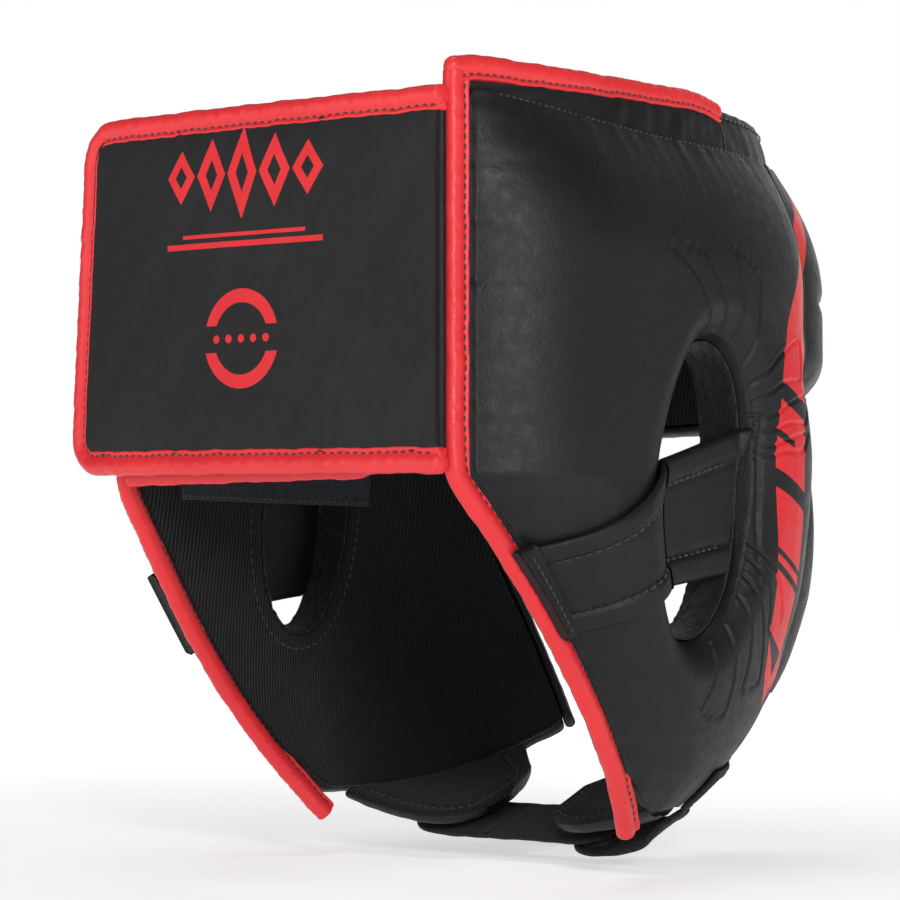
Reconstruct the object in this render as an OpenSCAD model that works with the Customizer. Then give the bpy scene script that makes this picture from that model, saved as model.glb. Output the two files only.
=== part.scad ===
// Open-crown boxing headgear: two padded side panels and a padded forehead on one head form,
// a rear closure flap over a tongue, ear straps, chin pads and a chin closure.
// The face looks toward -Y, the crown toward +Z, the wearer's left is +X.
// The origin is midway between the centres of the two ear openings.

/* [Head form] */
// Inside width at the ears
inner_w = 154; // [146:1:164]
// Inside depth from the ear axis to the brow
front_depth = 102; // [96:1:110]
// Inside depth from the ear axis to the rear edges
rear_depth = 101; // [95:1:106]
// Inside half width at the rear edges
rear_half_w = 65.5; // [61:0.5:70]
// Share of the width lost at the chin tip
side_taper = 0.21; // [0.15:0.01:0.26]
// Share of the front depth lost a hundred below the ears
front_taper = 0.44; // [0.36:0.01:0.5]
// Share by which the crown margin leans inward
crown_lean = 0.055; // [0.03:0.005:0.08]

/* [Heights from the ear axis] */
// Top edge of the side panels at the rear
crown_z = 127; // [122:1:134]
// Top seam of the padding
seam_z = 111; // [105:1:114]
// Lower edge of the forehead pad at its middle
brow_z = 28; // [22:1:34]
// Upper corner of the face opening at the temple
temple_z = 36; // [30:1:42]
// Rear corner where the vertical rear edge ends
closure_z = 2; // [-6:1:8]
// Front lower corner of the cheek
cheek_z = -78; // [-84:1:-70]
// How much lower the left side's rear top corner sits, under the flap
left_drop = 9; // [0:1:10]
// Lower end of the rear edge
tip_z = -107; // [-112:1:-102]

/* [Padding] */
// Full thickness of the padded shell
pad_t = 22; // [17:1:26]
// Thickness where the padding meets an edge
edge_t = 5.6; // [5.2:0.1:7]
// Thickness of the outer cover
cover_t = 1.4; // [1:0.1:1.6]
// Thickness of the lining
lining_t = 1.4; // [1:0.1:1.6]
// Clearance between neighbouring pieces
gap = 0.4; // [0.3:0.05:0.5]

/* [Ear opening] */
// Width of the ear opening
ear_w = 38; // [34:1:44]
// Height of the ear opening
ear_h = 89; // [80:1:96]
// Angle of the ear opening's centre from the front
ear_angle = 92.5; // [90:0.5:96]
// Wall thickness of the fleece around the ear opening
ear_wall_t = 2.4; // [2:0.1:3]

/* [Bindings and straps] */
// Width of the red binding
bind_w = 8; // [7:0.5:9]
// Thickness of the red binding
bind_t = 6; // [5:0.5:7]
// Thickness of the ear strap
strap_t = 2.6; // [2:0.1:3.4]
// How much lower the left ear strap and guard are set
left_strap_drop = 6; // [0:1:8]
// Thickness of the chin straps
chin_strap_t = 1.6; // [1.2:0.1:2]
// Width of the chin straps
chin_strap_w = 26; // [22:1:30]
// Thickness of a hook or loop patch
patch_t = 0.8; // [0.6:0.1:1]

/* [Rear closure] */
// Height of the closure flap
flap_h = 115; // [104:1:117]
// Length of the closure flap
flap_l = 154; // [140:1:158]
// Thickness of the closure flap
flap_t = 6.4; // [5.6:0.2:8]
// Rise of the flap towards its free end, in degrees
flap_rise = 1.2; // [0:0.2:2.4]
// Length of the tongue under the flap
tongue_l = 108; // [96:1:112]
// Height of the tongue under the flap
tongue_h = 92; // [80:1:98]
// Thickness of the tongue under the flap
tongue_t = 3; // [2.6:0.2:4]

/* [Chin] */
// Half of the space between the chin pads
chin_gap = 14; // [12:1:20]
// Full thickness of a chin pad
chin_pad_t = 7; // [6:0.5:9]

/* [Hidden] */
// Which side a mirrored piece is drawn for: the right one has the higher rear corner
$right = false;

black = [0.05, 0.05, 0.055];
mesh_black = [0.09, 0.09, 0.1];
foam_grey = [0.35, 0.35, 0.37];
red = [0.85, 0.08, 0.1];
tape_black = [0.03, 0.03, 0.035];

rear_n = 2.6;
brow_n = 2.6;
cheek_n = 1.85;
seam_angle = 51;
chin_angle = 17;
tip_angle = 99.3;
top_shoulder = 44;
rear_shoulder = 28;
face_shoulder = 14;
face_edge_share = 0.4;
bottom_shoulder = 46;
ear_shoulder = 16;
ear_thinning = 0.68;
seam_shoulder = 14;
temple_gain = 0.2;
ear_n = 2.3;
ear_lean = 0.07;
band_t = 2.6;
foam_gap = 3 * gap;
foam_reach = 0.98;
band_end_angle = 69;
crown_rise = 3;
rear_seam_rise = 6;

rear_angle = 180 - atan(rear_half_w / rear_depth);
rear_reach = rear_depth / pow(1 - pow(2 * rear_half_w / inner_w, rear_n), 1 / rear_n);
mm_per_deg = inner_w / 2 * PI / 180;

// ---- small helpers ----

function lerp(a, b, t) = a + (b - a) * t;
function clamp01(t) = max(0, min(1, t));
function unit(v) = v / norm(v);
function shoulder(d, w) = 1 - pow(1 - clamp01(d / w), 2);
function below(z, from, span) = max(0, (from - z) / span);

// ---- the head form: inside surface at an angle from the front and a height ----

// The margin leans in over the crown, and least at the rear corners
function lean(a, z) =
    1 - crown_lean * pow(max(0, (z - seam_z + 3) / 19), 2) * (1 - 0.8 * clamp01((abs(a) - 110) / 35));
function half_w(z) = inner_w / 2 * (1 - side_taper * pow(below(z, -20, 90), 3));
function front(z) = front_depth * (1 - front_taper * pow(below(z, 0, 100), 3));
function front_n(z) = lerp(brow_n, cheek_n, clamp01((12 - z) / 72));
function radius(a, z) =
    let (n = abs(a) < 90 ? front_n(z) : rear_n, reach = abs(a) < 90 ? front(z) : rear_reach)
    lean(a, z) / pow(pow(abs(sin(a)) / half_w(z), n) + pow(abs(cos(a)) / reach, n), 1 / n);
function form(a, z) = [radius(a, z) * sin(a), -radius(a, z) * cos(a), z];
function outward(a, z) =
    unit(cross(form(a + 0.5, z) - form(a - 0.5, z), form(a, z + 0.5) - form(a, z - 0.5)));
function on_form(a, z, w) = form(a, z) + w * outward(a, z);
function degrees_for(mm, a, z) = mm / radius(a, z) * 180 / PI;

// ---- edges of the panels ----

function rear_edge(z) =
    let (t = clamp01((closure_z - z) / (closure_z - tip_z)))
    rear_angle - (rear_angle - tip_angle) * (0.77 * t + 0.23 * pow(t, 3.3));
function side_drop(a) = $right ? 0 : left_drop * pow(clamp01((abs(a) - 95) / 50), 2);
function crown_edge(a) = crown_z + crown_rise * clamp01((rear_angle - abs(a)) / 70) - side_drop(a);
function pad_top(a) = seam_z + rear_seam_rise * pow(clamp01((abs(a) - 95) / 50), 2) - side_drop(a);
function brow(a) = lerp(brow_z, temple_z, pow(clamp01(abs(a) / seam_angle), 2));
function face_edge(z) =
    lerp(chin_angle, seam_angle, pow(clamp01((z - cheek_z) / (temple_z - cheek_z)), 0.85));
function cheek_bottom(a) =
    let (s = clamp01((a - chin_angle) / (tip_angle - chin_angle)))
    lerp(cheek_z, tip_z + 7, 1 - pow(1 - s, 3));

// ---- the ear opening ----

function ear_radius(t, grow) =
    1 / pow(pow(abs(cos(t)) / (ear_w / 2 + grow), ear_n) + pow(abs(sin(t)) / (ear_h / 2 + grow), ear_n),
            1 / ear_n);
function ear_point(t, grow) =
    let (r = ear_radius(t, grow), z = r * sin(t))
    [ear_angle + r * cos(t) / mm_per_deg - ear_lean * z, z];
function from_ear(p) = [(p.x - ear_angle + ear_lean * p.y) * mm_per_deg, p.y];
function ear_distance(a, z) =
    let (v = from_ear([a, z]))
    norm(v) < 1 ? 0 : max(0, norm(v) - ear_radius(atan2(v.y, v.x), 0));

// ---- thickness of the padding ----

function face_distance(a, z) =
    a < seam_angle ? (z > brow(a) ? z - brow(a) : (a - face_edge(z)) * mm_per_deg)
    : z < temple_z ? (a - face_edge(z)) * mm_per_deg
    : norm([(a - seam_angle) * mm_per_deg, z - temple_z]);
function thickness(a_signed, z) =
    let (a = abs(a_signed),
         top = shoulder(pad_top(a) - z, top_shoulder),
         rear = shoulder((rear_edge(z) - a) * radius(a, z) * PI / 180 - bind_w, rear_shoulder),
         bottom = shoulder(z - cheek_bottom(a), bottom_shoulder),
         face = lerp(face_edge_share, 1, shoulder(face_distance(a, z), face_shoulder)),
         seam = 1 - 0.22 * (1 - shoulder(abs(a - seam_angle) * mm_per_deg, seam_shoulder)),
         ear = 1 - ear_thinning * (1 - shoulder(ear_distance(a, z), ear_shoulder)),
         temple = 1 + temple_gain * (1 - pow(clamp01(abs(z - 5) / 50), 2)) * clamp01((a - 40) / 10)
                  * clamp01((84 - a) / 20),
         jaw = 1 - 0.25 * clamp01(below(z, -30, 60)))
    edge_t + (pad_t - edge_t) * top * rear * bottom * face * seam * ear * temple * jaw;

// ---- outline of a side panel, as [angle, height], from the rear top corner round to it again ----

function rear_inset(z) = rear_edge(z) - degrees_for(bind_w + gap, rear_edge(z), z);
function bottom_end() = [tip_angle - 7, cheek_bottom(tip_angle - 7)];
function side_outline(n) =
    let (top_z = pad_top(rear_angle), face_n = ceil(n * 1.2), low = bottom_end())
    concat(
        [for (i = [0:n - 1]) let (a = lerp(rear_inset(top_z), seam_angle + 0.3, i / n)) [a, pad_top(a)]],
        [for (i = [0:n / 2 - 1]) [seam_angle + 0.3, lerp(pad_top(seam_angle), temple_z, 2 * i / n)]],
        [for (i = [0:face_n - 1]) let (z = lerp(temple_z, cheek_z, i / face_n)) [face_edge(z) + 0.3, z]],
        [for (i = [0:n - 1]) let (a = lerp(chin_angle + 0.3, low.x, i / n)) [a, cheek_bottom(a)]],
        [for (i = [0:n - 1]) let (z = lerp(low.y, closure_z, i / n)) [min(rear_inset(z), lerp(low.x, 200, i / n)), z]],
        [for (i = [0:n - 1]) [rear_inset(closure_z), lerp(closure_z, top_z, i / n)]]);

// Rings from the ear opening out to a share of the way to the outline
function ring_grid(n, rings, grow, depth, reach) =
    let (edge = side_outline(n))
    [for (j = [0:rings]) [for (p = edge)
        let (v = from_ear(p), q = lerp(ear_point(atan2(v.y, v.x), grow), p, reach * j / rings))
        on_form(q.x, q.y, depth(q.x, q.y))]];

// Cover, foam and lining share one grid, so the clearance between them is even
function panel_grid(depth, reach = 1) = ring_grid(9, 7, ear_wall_t + gap, depth, reach);

// ---- polyhedra from grids ----

function flat(rows) = [for (row = rows) each row];
function quad(a, b, c, d) = [[a, b, c], [a, c, d]];

// A closed ring-shaped slab between two grids of rings
module ring_slab(outer, inner) {
    rows = len(outer);
    cols = len(outer[0]);
    base = rows * cols;
    polyhedron(points = concat(flat(outer), flat(inner)), faces = concat(
        [for (j = [0:rows - 2]) for (i = [0:cols - 1]) let (k = (i + 1) % cols)
            each quad(j * cols + i, j * cols + k, (j + 1) * cols + k, (j + 1) * cols + i)],
        [for (j = [0:rows - 2]) for (i = [0:cols - 1]) let (k = (i + 1) % cols)
            each quad(base + j * cols + k, base + j * cols + i, base + (j + 1) * cols + i,
                      base + (j + 1) * cols + k)],
        [for (i = [0:cols - 1]) let (k = (i + 1) % cols)
            each quad(k, i, base + i, base + k)],
        [for (i = [0:cols - 1]) let (k = (i + 1) % cols, e = (rows - 1) * cols)
            each quad(e + i, e + k, base + e + k, base + e + i)]));
}

// A closed slab between two open grids; on the outer one, columns run left as rows run up
module slab(outer, inner) {
    rows = len(outer);
    cols = len(outer[0]);
    base = rows * cols;
    last = (rows - 1) * cols;
    polyhedron(points = concat(flat(outer), flat(inner)), faces = concat(
        [for (j = [0:rows - 2]) for (i = [0:cols - 2]) let (k = j * cols + i)
            each concat(quad(k + 1, k, k + cols, k + cols + 1),
                        quad(base + k, base + k + 1, base + k + cols + 1, base + k + cols))],
        [for (i = [0:cols - 2]) each concat(quad(i, i + 1, base + i + 1, base + i),
                                            quad(last + i + 1, last + i, base + last + i, base + last + i + 1))],
        [for (j = [0:rows - 2]) let (k = j * cols, e = k + cols - 1)
            each concat(quad(k + cols, k, base + k, base + k + cols),
                        quad(e, e + cols, base + e + cols, base + e))]));
}

// A closed bar through a row of rings, with flat ends
module bar(rings) {
    count = len(rings);
    m = len(rings[0]);
    polyhedron(points = flat(rings), faces = concat(
        [for (j = [0:count - 2]) for (i = [0:m - 1]) let (k = (i + 1) % m)
            each quad(j * m + k, j * m + i, (j + 1) * m + i, (j + 1) * m + k)],
        [for (i = [1:m - 2]) [0, i, i + 1]],
        [for (i = [1:m - 2]) let (e = (count - 1) * m) [e, e + i + 1, e + i]]));
}

// Rings of an oval bead through points, w wide (one width or one for each point) the way across points
function bead(points, across, w, t, sides = 8) =
    [for (i = [0:len(points) - 1])
        let (along = unit(points[min(i + 1, len(points) - 1)] - points[max(i - 1, 0)]),
             side = unit(across[i] - (across[i] * along) * along),
             up = cross(along, side))
        [for (k = [0:sides - 1]) let (a = 360 * (k + 0.5) / sides)
            points[i] + side * (is_list(w) ? w[i] : w) / 2 * cos(a) + up * t / 2 * sin(a)]];

module mirrored() {
    if ($right) mirror([1, 0, 0]) children();
    else children();
}

// ---- padded shell ----

module side_cover() {
    color(black) mirrored() ring_slab(
        panel_grid(function(a, z) thickness(a, z)),
        panel_grid(function(a, z) thickness(a, z) - cover_t));
}

module side_foam() {
    color(foam_grey) mirrored() ring_slab(
        panel_grid(function(a, z) thickness(a, z) - cover_t - foam_gap, foam_reach),
        panel_grid(function(a, z) lining_t + foam_gap, foam_reach));
}

module side_lining() {
    color(mesh_black) mirrored() ring_slab(
        panel_grid(function(a, z) lining_t),
        panel_grid(function(a, z) 0));
}

forehead_cols = 18;
forehead_rows = 8;
function forehead_grid(depth) =
    [for (j = [0:forehead_rows]) [for (i = [0:forehead_cols])
        let (a = lerp(-seam_angle + 0.3, seam_angle - 0.3, i / forehead_cols),
             z = lerp(brow(a), pad_top(a), j / forehead_rows))
        on_form(a, z, depth(a, z))]];

module forehead_cover() {
    color(black) slab(forehead_grid(function(a, z) thickness(a, z)),
                      forehead_grid(function(a, z) thickness(a, z) - cover_t));
}

module forehead_foam() {
    color(foam_grey) slab(forehead_grid(function(a, z) thickness(a, z) - cover_t - foam_gap),
                          forehead_grid(function(a, z) lining_t + foam_gap));
}

module forehead_lining() {
    color(mesh_black) slab(forehead_grid(function(a, z) lining_t), forehead_grid(function(a, z) 0));
}

// ---- crown margins and bindings ----

function band_grid(a0, a1, cols, low, high, w) =
    [for (j = [0:3]) [for (i = [0:cols])
        let (a = lerp(a0, a1, i / cols), z = lerp(low(a), high(a), j / 3)) on_form(a, z, w)]];

// The crown binding dips a little where it ends
function crown_dip(a) = 2 * pow(clamp01((band_end_angle + 8 - a) / 8), 2);

module crown_band() {
    low = function(a) pad_top(a) + gap;
    high = function(a) crown_edge(a) - bind_w - 2 * gap - crown_dip(a);
    a0 = band_end_angle;
    a1 = rear_angle - degrees_for(bind_w + gap, rear_angle, seam_z);
    color(black) mirrored() slab(band_grid(a0, a1, 16, low, high, 1 + band_t),
                                 band_grid(a0, a1, 16, low, high, 1));
}

module forehead_crown_margin() {
    reach = band_end_angle - degrees_for(gap, 80, seam_z);
    low = function(a) pad_top(a) + gap;
    high = function(a) crown_edge(a) - 5 - 2 * (1 - abs(a) / 90);
    color(black) slab(band_grid(-reach, reach, 30, low, high, 1 + band_t),
                      band_grid(-reach, reach, 30, low, high, 1));
}

bind_depth = bind_t / 2 - 0.2;

module rear_binding() {
    n = 30;
    upper = [for (i = [0:8]) let (z = lerp(crown_edge(rear_angle), closure_z, i / 8))
                [rear_angle - degrees_for(bind_w / 2, rear_angle, z), z]];
    lower = [for (i = [1:n - 9]) let (z = lerp(closure_z, tip_z, i / (n - 9)))
                [rear_edge(z) - degrees_for(bind_w / 2, rear_edge(z), z), z]];
    route = concat(upper, lower);
    color(red) mirrored() bar(bead(
        [for (p = route) on_form(p.x, p.y, bind_depth)],
        [for (p = route) on_form(p.x + 1, p.y, 0) - on_form(p.x, p.y, 0)], bind_w, bind_t));
}

module crown_binding() {
    start = rear_angle - degrees_for(bind_w + gap, rear_angle, crown_z);
    route = [for (i = [0:20]) let (a = lerp(start, band_end_angle, i / 20))
                [a, crown_edge(a) - bind_w / 2 - crown_dip(a)]];
    color(red) mirrored() bar(bead(
        [for (p = route) on_form(p.x, p.y, 1 + band_t / 2)],
        [for (i = [0:len(route) - 1])
            let (p = route[i], q = route[max(0, i - 1)], r = route[min(len(route) - 1, i + 1)])
            cross(on_form(r.x, r.y, 0) - on_form(q.x, q.y, 0), outward(p.x, p.y))],
        bind_w, bind_t - 1));
}

// The turned edge round the face opening, from one cheek over the brow to the other
module face_opening_welt() {
    n = 16;
    side = [for (i = [0:n]) let (z = lerp(cheek_z + 4, temple_z - 3.4, i / n)) [face_edge(z) - 1.6, z]];
    over = [for (i = [1:n - 1]) let (a = lerp(seam_angle - 3, -seam_angle + 3, i / n)) [a, brow(a) - 2.4]];
    route = concat(side, over, [for (i = [n:-1:0]) [-side[i].x, side[i].y]]);
    deep = [for (p = route) thickness(abs(p.x) + 1, p.y)];
    color(black) bar(bead(
        [for (i = [0:len(route) - 1]) on_form(route[i].x, route[i].y, deep[i] / 2)],
        [for (p = route) outward(p.x, p.y)], deep, 3.4));
}

// ---- ear openings ----

module ear_wall() {
    n = 40;
    deep = [for (j = [0:3]) [for (i = [0:n - 1])
        let (p = ear_point(360 * i / n, 0), w = thickness(p.x, p.y)) on_form(p.x, p.y, w * j / 3)]];
    shell = [for (j = [0:3]) [for (i = [0:n - 1])
        let (p = ear_point(360 * i / n, 0), q = ear_point(360 * i / n, ear_wall_t), w = thickness(p.x, p.y))
        on_form(q.x, q.y, w * j / 3)]];
    color(mesh_black) mirrored() ring_slab(deep, shell);
}

// Top and bottom edges of the ear strap, from its rear end at 0 to the ear opening's front rim at 1
strap_join = 0.5;
strap_low = [-46, -32, -27];
strap_high = [-21, 7, 20];
strap_mid_angle = 110;
strap_front_low_angle = 82.5;
strap_front_high_angle = 76;

function strap_edge(z, front_angle, bend, t) =
    let (drop = $right ? 0 : left_strap_drop,
         rear = [rear_edge(z[0] - drop) - 1.8, z[0] - drop],
         mid = [strap_mid_angle, z[1] - drop],
         fore = [front_angle, z[2] - drop])
    t < strap_join ? lerp(rear, mid, t / strap_join) + [0, bend * sin(180 * t / strap_join)]
    : lerp(mid, fore, (t - strap_join) / (1 - strap_join));
function strap_point(t, v) =
    lerp(strap_edge(strap_low, strap_front_low_angle, -1.5, t),
         strap_edge(strap_high, strap_front_high_angle, -3, t), v);
function strap_grid(t0, t1, rows, cols, v0, v1, w) =
    [for (j = [0:cols]) [for (i = [0:rows])
        let (p = strap_point(lerp(t0, t1, i / rows), lerp(v0, v1, j / cols)))
        on_form(p.x, p.y, thickness(p.x, p.y) + w)]];

module ear_strap() {
    color(black) mirrored() slab(strap_grid(strap_join - 0.01, 0.05, 10, 4, 0, 1, 2 * gap + strap_t),
                                 strap_grid(strap_join - 0.01, 0.05, 10, 4, 0, 1, 2 * gap));
}

module ear_guard() {
    color(black) mirrored() slab(strap_grid(1, strap_join + 0.01, 10, 4, 0, 1, 2 * gap + strap_t + 1),
                                 strap_grid(1, strap_join + 0.01, 10, 4, 0, 1, 2 * gap));
}

module strap_end() {
    color(black) mirrored() slab(strap_grid(0.04, -0.01, 2, 4, -0.03, 1.03, 2 * gap + strap_t + 1.2),
                                 strap_grid(0.04, -0.01, 2, 4, -0.03, 1.03, 2 * gap));
}

// ---- chin pads: along s from the cheek's bottom edge to the inner end, across v from rear to front ----

chin_root_rear = 86;
chin_root_front = 27;
chin_end_rear = [chin_gap, -8, -109];
chin_end_front = [chin_gap, -46, -94];
chin_sag = 1.5;

function chin_root(v) =
    let (a = lerp(chin_root_rear, chin_root_front, v)) on_form(a, cheek_bottom(a) - 2 * gap, 0);
function chin_width(s) = sqrt(1 - 0.93 * pow(clamp01((s - 0.55) / 0.45), 2));
function chin_face(s, v) =
    let (q = 0.5 + (v - 0.5) * chin_width(s))
    lerp(chin_root(q), lerp(chin_end_rear, chin_end_front, q), s) - [0, 0, chin_sag * sin(180 * s)];
function chin_out(s, v) =
    unit(cross(chin_face(s, v + 0.02) - chin_face(s, v - 0.02), chin_face(s + 0.02, v) - chin_face(s - 0.02, v)));
function chin_depth(s, v) =
    3.4 + (chin_pad_t - 3.4) * sqrt(max(0, 1 - pow(2 * v - 1, 2))) * shoulder(1.05 - s, 0.3) * shoulder(s + 0.12, 0.4);
function chin_grid(depth) =
    [for (j = [0:10]) [for (i = [0:10])
        let (s = 0.97 * i / 10, v = j / 10) chin_face(s, v) + depth(s, v) * chin_out(s, v)]];

module chin_cover() {
    color(black) mirrored() slab(chin_grid(function(s, v) chin_depth(s, v) - 1),
                                 chin_grid(function(s, v) chin_depth(s, v)));
}

module chin_foam() {
    color(foam_grey) mirrored() slab(chin_grid(function(s, v) 1 + gap),
                                     chin_grid(function(s, v) chin_depth(s, v) - 1 - gap));
}

module chin_lining() {
    color(mesh_black) mirrored() slab(chin_grid(function(s, v) 0), chin_grid(function(s, v) 1));
}

// ---- chin closure: both straps follow the pads' undersides and overlap below the chin ----

strap_v = 0.42;
hook_start_s = 0.16;
hook_turn_drop = 4;
hook_end_x = 19;
loop_end_s = 0.45;
anchor_start_s = 0.16;
loop_drop = gap + 0.5;
patch_gap = 0.2;
hook_drop = loop_drop + chin_strap_t + 2 * (patch_t + patch_gap) + gap;

// The underside of the chin pad carried on past its inner end, d below it
function chin_under(s, d) =
    let (p = chin_face(s, strap_v) + (chin_depth(s, strap_v) + d) * chin_out(s, strap_v)) p;
function chin_across() = unit(chin_end_front - chin_end_rear);
function strap_bar(points, t) =
    [for (i = [0:len(points) - 1])
        let (along = unit(points[min(i + 1, len(points) - 1)] - points[max(i - 1, 0)]),
             side = unit(chin_across() - (chin_across() * along) * along),
             up = cross(along, side),
             w = chin_strap_w / 2)
        [points[i] - side * w - up * t / 2, points[i] + side * w - up * t / 2,
         points[i] + side * w + up * t / 2, points[i] - side * w + up * t / 2]];

// Where the hook strap turns under the cheek's lower edge, d below it
function cheek_turn(d) =
    let (a = lerp(chin_root_rear, chin_root_front, strap_v)) on_form(a, cheek_bottom(a) - d, edge_t + gap);

// A line below the right pad, drawn for the left one: from share s of it, off its end, and on level to x
function under_route(s, x, d) =
    let (off = 0.8, p = chin_under(off, d))
    concat([for (i = [0:6]) chin_under(lerp(s, off, i / 6), d)],
           [for (i = [1:4]) [lerp(p.x, x, i / 4), p.y, p.z]]);

// The hook strap hangs from the right panel and reaches across to the loop strap
module hook_strap() {
    color(tape_black) mirror([1, 0, 0])
        bar(strap_bar(concat([cheek_turn(hook_turn_drop)],
                             under_route(hook_start_s, hook_end_x, hook_drop + chin_strap_t / 2)), chin_strap_t));
}

module hook_strap_patch() {
    color(tape_black) mirror([1, 0, 0])
        bar(strap_bar(under_route(loop_end_s + 0.05, hook_end_x + 2, hook_drop - patch_t / 2 - patch_gap), patch_t));
}

module loop_strap() {
    color(tape_black) mirror([1, 0, 0])
        bar(strap_bar(under_route(loop_end_s, 3 - chin_gap, loop_drop + chin_strap_t / 2), chin_strap_t));
}

module loop_strap_patch() {
    color(tape_black) mirror([1, 0, 0])
        bar(strap_bar(under_route(loop_end_s + 0.02, 8 - chin_gap, loop_drop + chin_strap_t + patch_t / 2 + patch_gap),
                      patch_t));
}

// The sewn ends: the hook strap's on the cheek, the loop strap's under the left chin pad
module chin_anchor() {
    if ($right) {
        patch = function(w) [for (j = [0:3]) [for (i = [0:3])
            let (a = lerp(72, 46, j / 3), z = cheek_bottom(a) + lerp(13, 0, i / 3))
            on_form(a, z, thickness(a, z) + w)]];
        color(tape_black) mirror([1, 0, 0]) slab(patch(gap), patch(gap + chin_strap_t));
    } else {
        color(tape_black) bar(strap_bar(
            under_route(anchor_start_s, chin_gap - 3 + 2 * gap, loop_drop + chin_strap_t / 2), chin_strap_t));
    }
}

// ---- rear closure ----

flap_stand_off = [2.4, 0.873];
// The flap's root stands behind the rear corner of the binding, which leans with the form
flap_start = [-rear_half_w - flap_stand_off.x,
              rear_depth + flap_stand_off.y + bind_t * outward(rear_angle, closure_z).y];
flap_bulge = 4.5;
flap_curl = 5;
flap_corner = 14;
flap_slant = 9;

// Plan line of the closure: mostly straight, bowed a little outward, curling in at its free end
function closure_line(x) =
    [flap_start.x + x,
     flap_start.y + flap_bulge * sin(90 * clamp01(x / 100)) - flap_curl * pow(clamp01((x - 118) / 40), 2)];
function closure_out(x) = let (d = closure_line(x + 1) - closure_line(x - 1)) unit([-d.y, d.x, 0]);
function flap_at(x, z, w) =
    let (cut = flap_slant * pow(x / flap_l, 4) * (z - closure_z) / flap_h, p = closure_line(x - cut))
    [p.x, p.y, z + x * sin(flap_rise)] + w * closure_out(x - cut);
function flap_cut(x, inset) =
    let (r = flap_corner - inset, over = x - (flap_l - inset - r)) over > 0 ? r - sqrt(max(0, r * r - over * over)) : 0;
function flap_grid(inset, w) =
    let (cols = 22, rows = 4, l = flap_l - inset - 0.4)
    [for (j = [0:rows]) [for (i = [0:cols])
        let (x = i < 15 ? lerp(gap, l - flap_corner + inset, i / 15)
                 : l - (flap_corner - inset) * (1 - sin(90 * (i - 15) / (cols - 15))),
             cut = flap_cut(x, inset),
             z = lerp(closure_z + inset + cut, closure_z + flap_h - inset - cut, j / rows))
        flap_at(x, z, w)]];

module flap_cover() {
    color(black) slab(flap_grid(bind_w, flap_t / 2 - 1), flap_grid(bind_w, flap_t / 2));
}

module flap_foam() {
    color(foam_grey) slab(flap_grid(bind_w + gap, -flap_t / 2 + 1 + gap),
                          flap_grid(bind_w + gap, flap_t / 2 - 1 - gap));
}

module flap_lining() {
    color(mesh_black) slab(flap_grid(bind_w, -flap_t / 2), flap_grid(bind_w, -flap_t / 2 + 1));
}

module flap_hook_patch() {
    patch = function(w) [for (j = [0:2]) [for (i = [0:8])
        flap_at(lerp(34, 112, i / 8), lerp(closure_z + 24, closure_z + 84, j / 2), w)]];
    color(tape_black) slab(patch(-flap_t / 2 - gap / 4 - patch_t), patch(-flap_t / 2 - gap / 4));
}

module flap_binding() {
    h = bind_w / 2;
    r = flap_corner - h;
    far = flap_l - h - r;
    low = closure_z + h;
    high = closure_z + flap_h - h;
    route = concat(
        [for (i = [0:14]) [lerp(gap, far, i / 14), high]],
        [for (i = [1:4]) let (t = 90 * i / 4) [far + r * sin(t), high - r * (1 - cos(t))]],
        [for (i = [1:3]) [far + r, lerp(high - r, low + r, i / 4)]],
        [for (i = [0:4]) let (t = 90 * i / 4) [far + r * cos(t), low + r * (1 - sin(t))]],
        [for (i = [1:14]) [lerp(far, gap, i / 14), low]]);
    points = [for (p = route) flap_at(p.x, p.y, 0)];
    color(red) bar(bead(points,
        [for (i = [0:len(route) - 1])
            let (d = points[min(i + 1, len(route) - 1)] - points[max(0, i - 1)])
            cross(d, closure_out(route[i].x))], bind_w - gap, flap_t + 0.8));
}

// ---- tongue under the flap, sewn to the left rear edge ----

tongue_start = [rear_half_w - 2.6, rear_depth - 0.6];
tongue_drop = -0.4;
function tongue_at(x, z, w) =
    let (turn = -1.2, d = [cos(turn), sin(turn)])
    [tongue_start.x - x * d.x, tongue_start.y + x * d.y + w, z];
function tongue_grid(inset, w) =
    let (cols = 14, l = tongue_l - inset, r = 8)
    [for (j = [0:3]) [for (i = [0:cols])
        let (x = lerp(gap, l, i / cols),
             over = max(0, x - l + r), cut = r - sqrt(max(0, r * r - over * over)),
             z = lerp(closure_z + tongue_drop + inset + cut, closure_z + tongue_h - inset - cut, j / 3))
        tongue_at(x, z, w)]];

module tongue_cover() {
    color(black) slab(tongue_grid(bind_w, tongue_t / 2), tongue_grid(bind_w, -tongue_t / 2));
}

module tongue_loop_patch() {
    patch = function(w) [for (j = [0:1]) [for (i = [0:6])
        tongue_at(lerp(14, 92, i / 6), lerp(closure_z + 16, closure_z + 78, j), w)]];
    color(tape_black) slab(patch(tongue_t / 2 + 0.1 + patch_t), patch(tongue_t / 2 + 0.1));
}

module tongue_binding() {
    h = bind_w / 2;
    r = 8;
    far = tongue_l - h - r;
    low = closure_z + tongue_drop + h;
    high = closure_z + tongue_h - h;
    route = concat(
        [for (i = [0:6]) [lerp(gap, far, i / 6), high]],
        [for (i = [1:4]) let (t = 90 * i / 4) [far + r * sin(t), high - r * (1 - cos(t))]],
        [for (i = [0:4]) let (t = 90 * i / 4) [far + r * cos(t), low + r * (1 - sin(t))]],
        [for (i = [1:6]) [lerp(far, gap, i / 6), low]]);
    points = [for (p = route) tongue_at(p.x, p.y, 0)];
    color(red) bar(bead(points,
        [for (i = [0:len(route) - 1])
            let (d = points[min(i + 1, len(route) - 1)] - points[max(0, i - 1)]) cross(d, [0, 1, 0])],
        bind_w - gap, tongue_t + 0.6));
}

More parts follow.
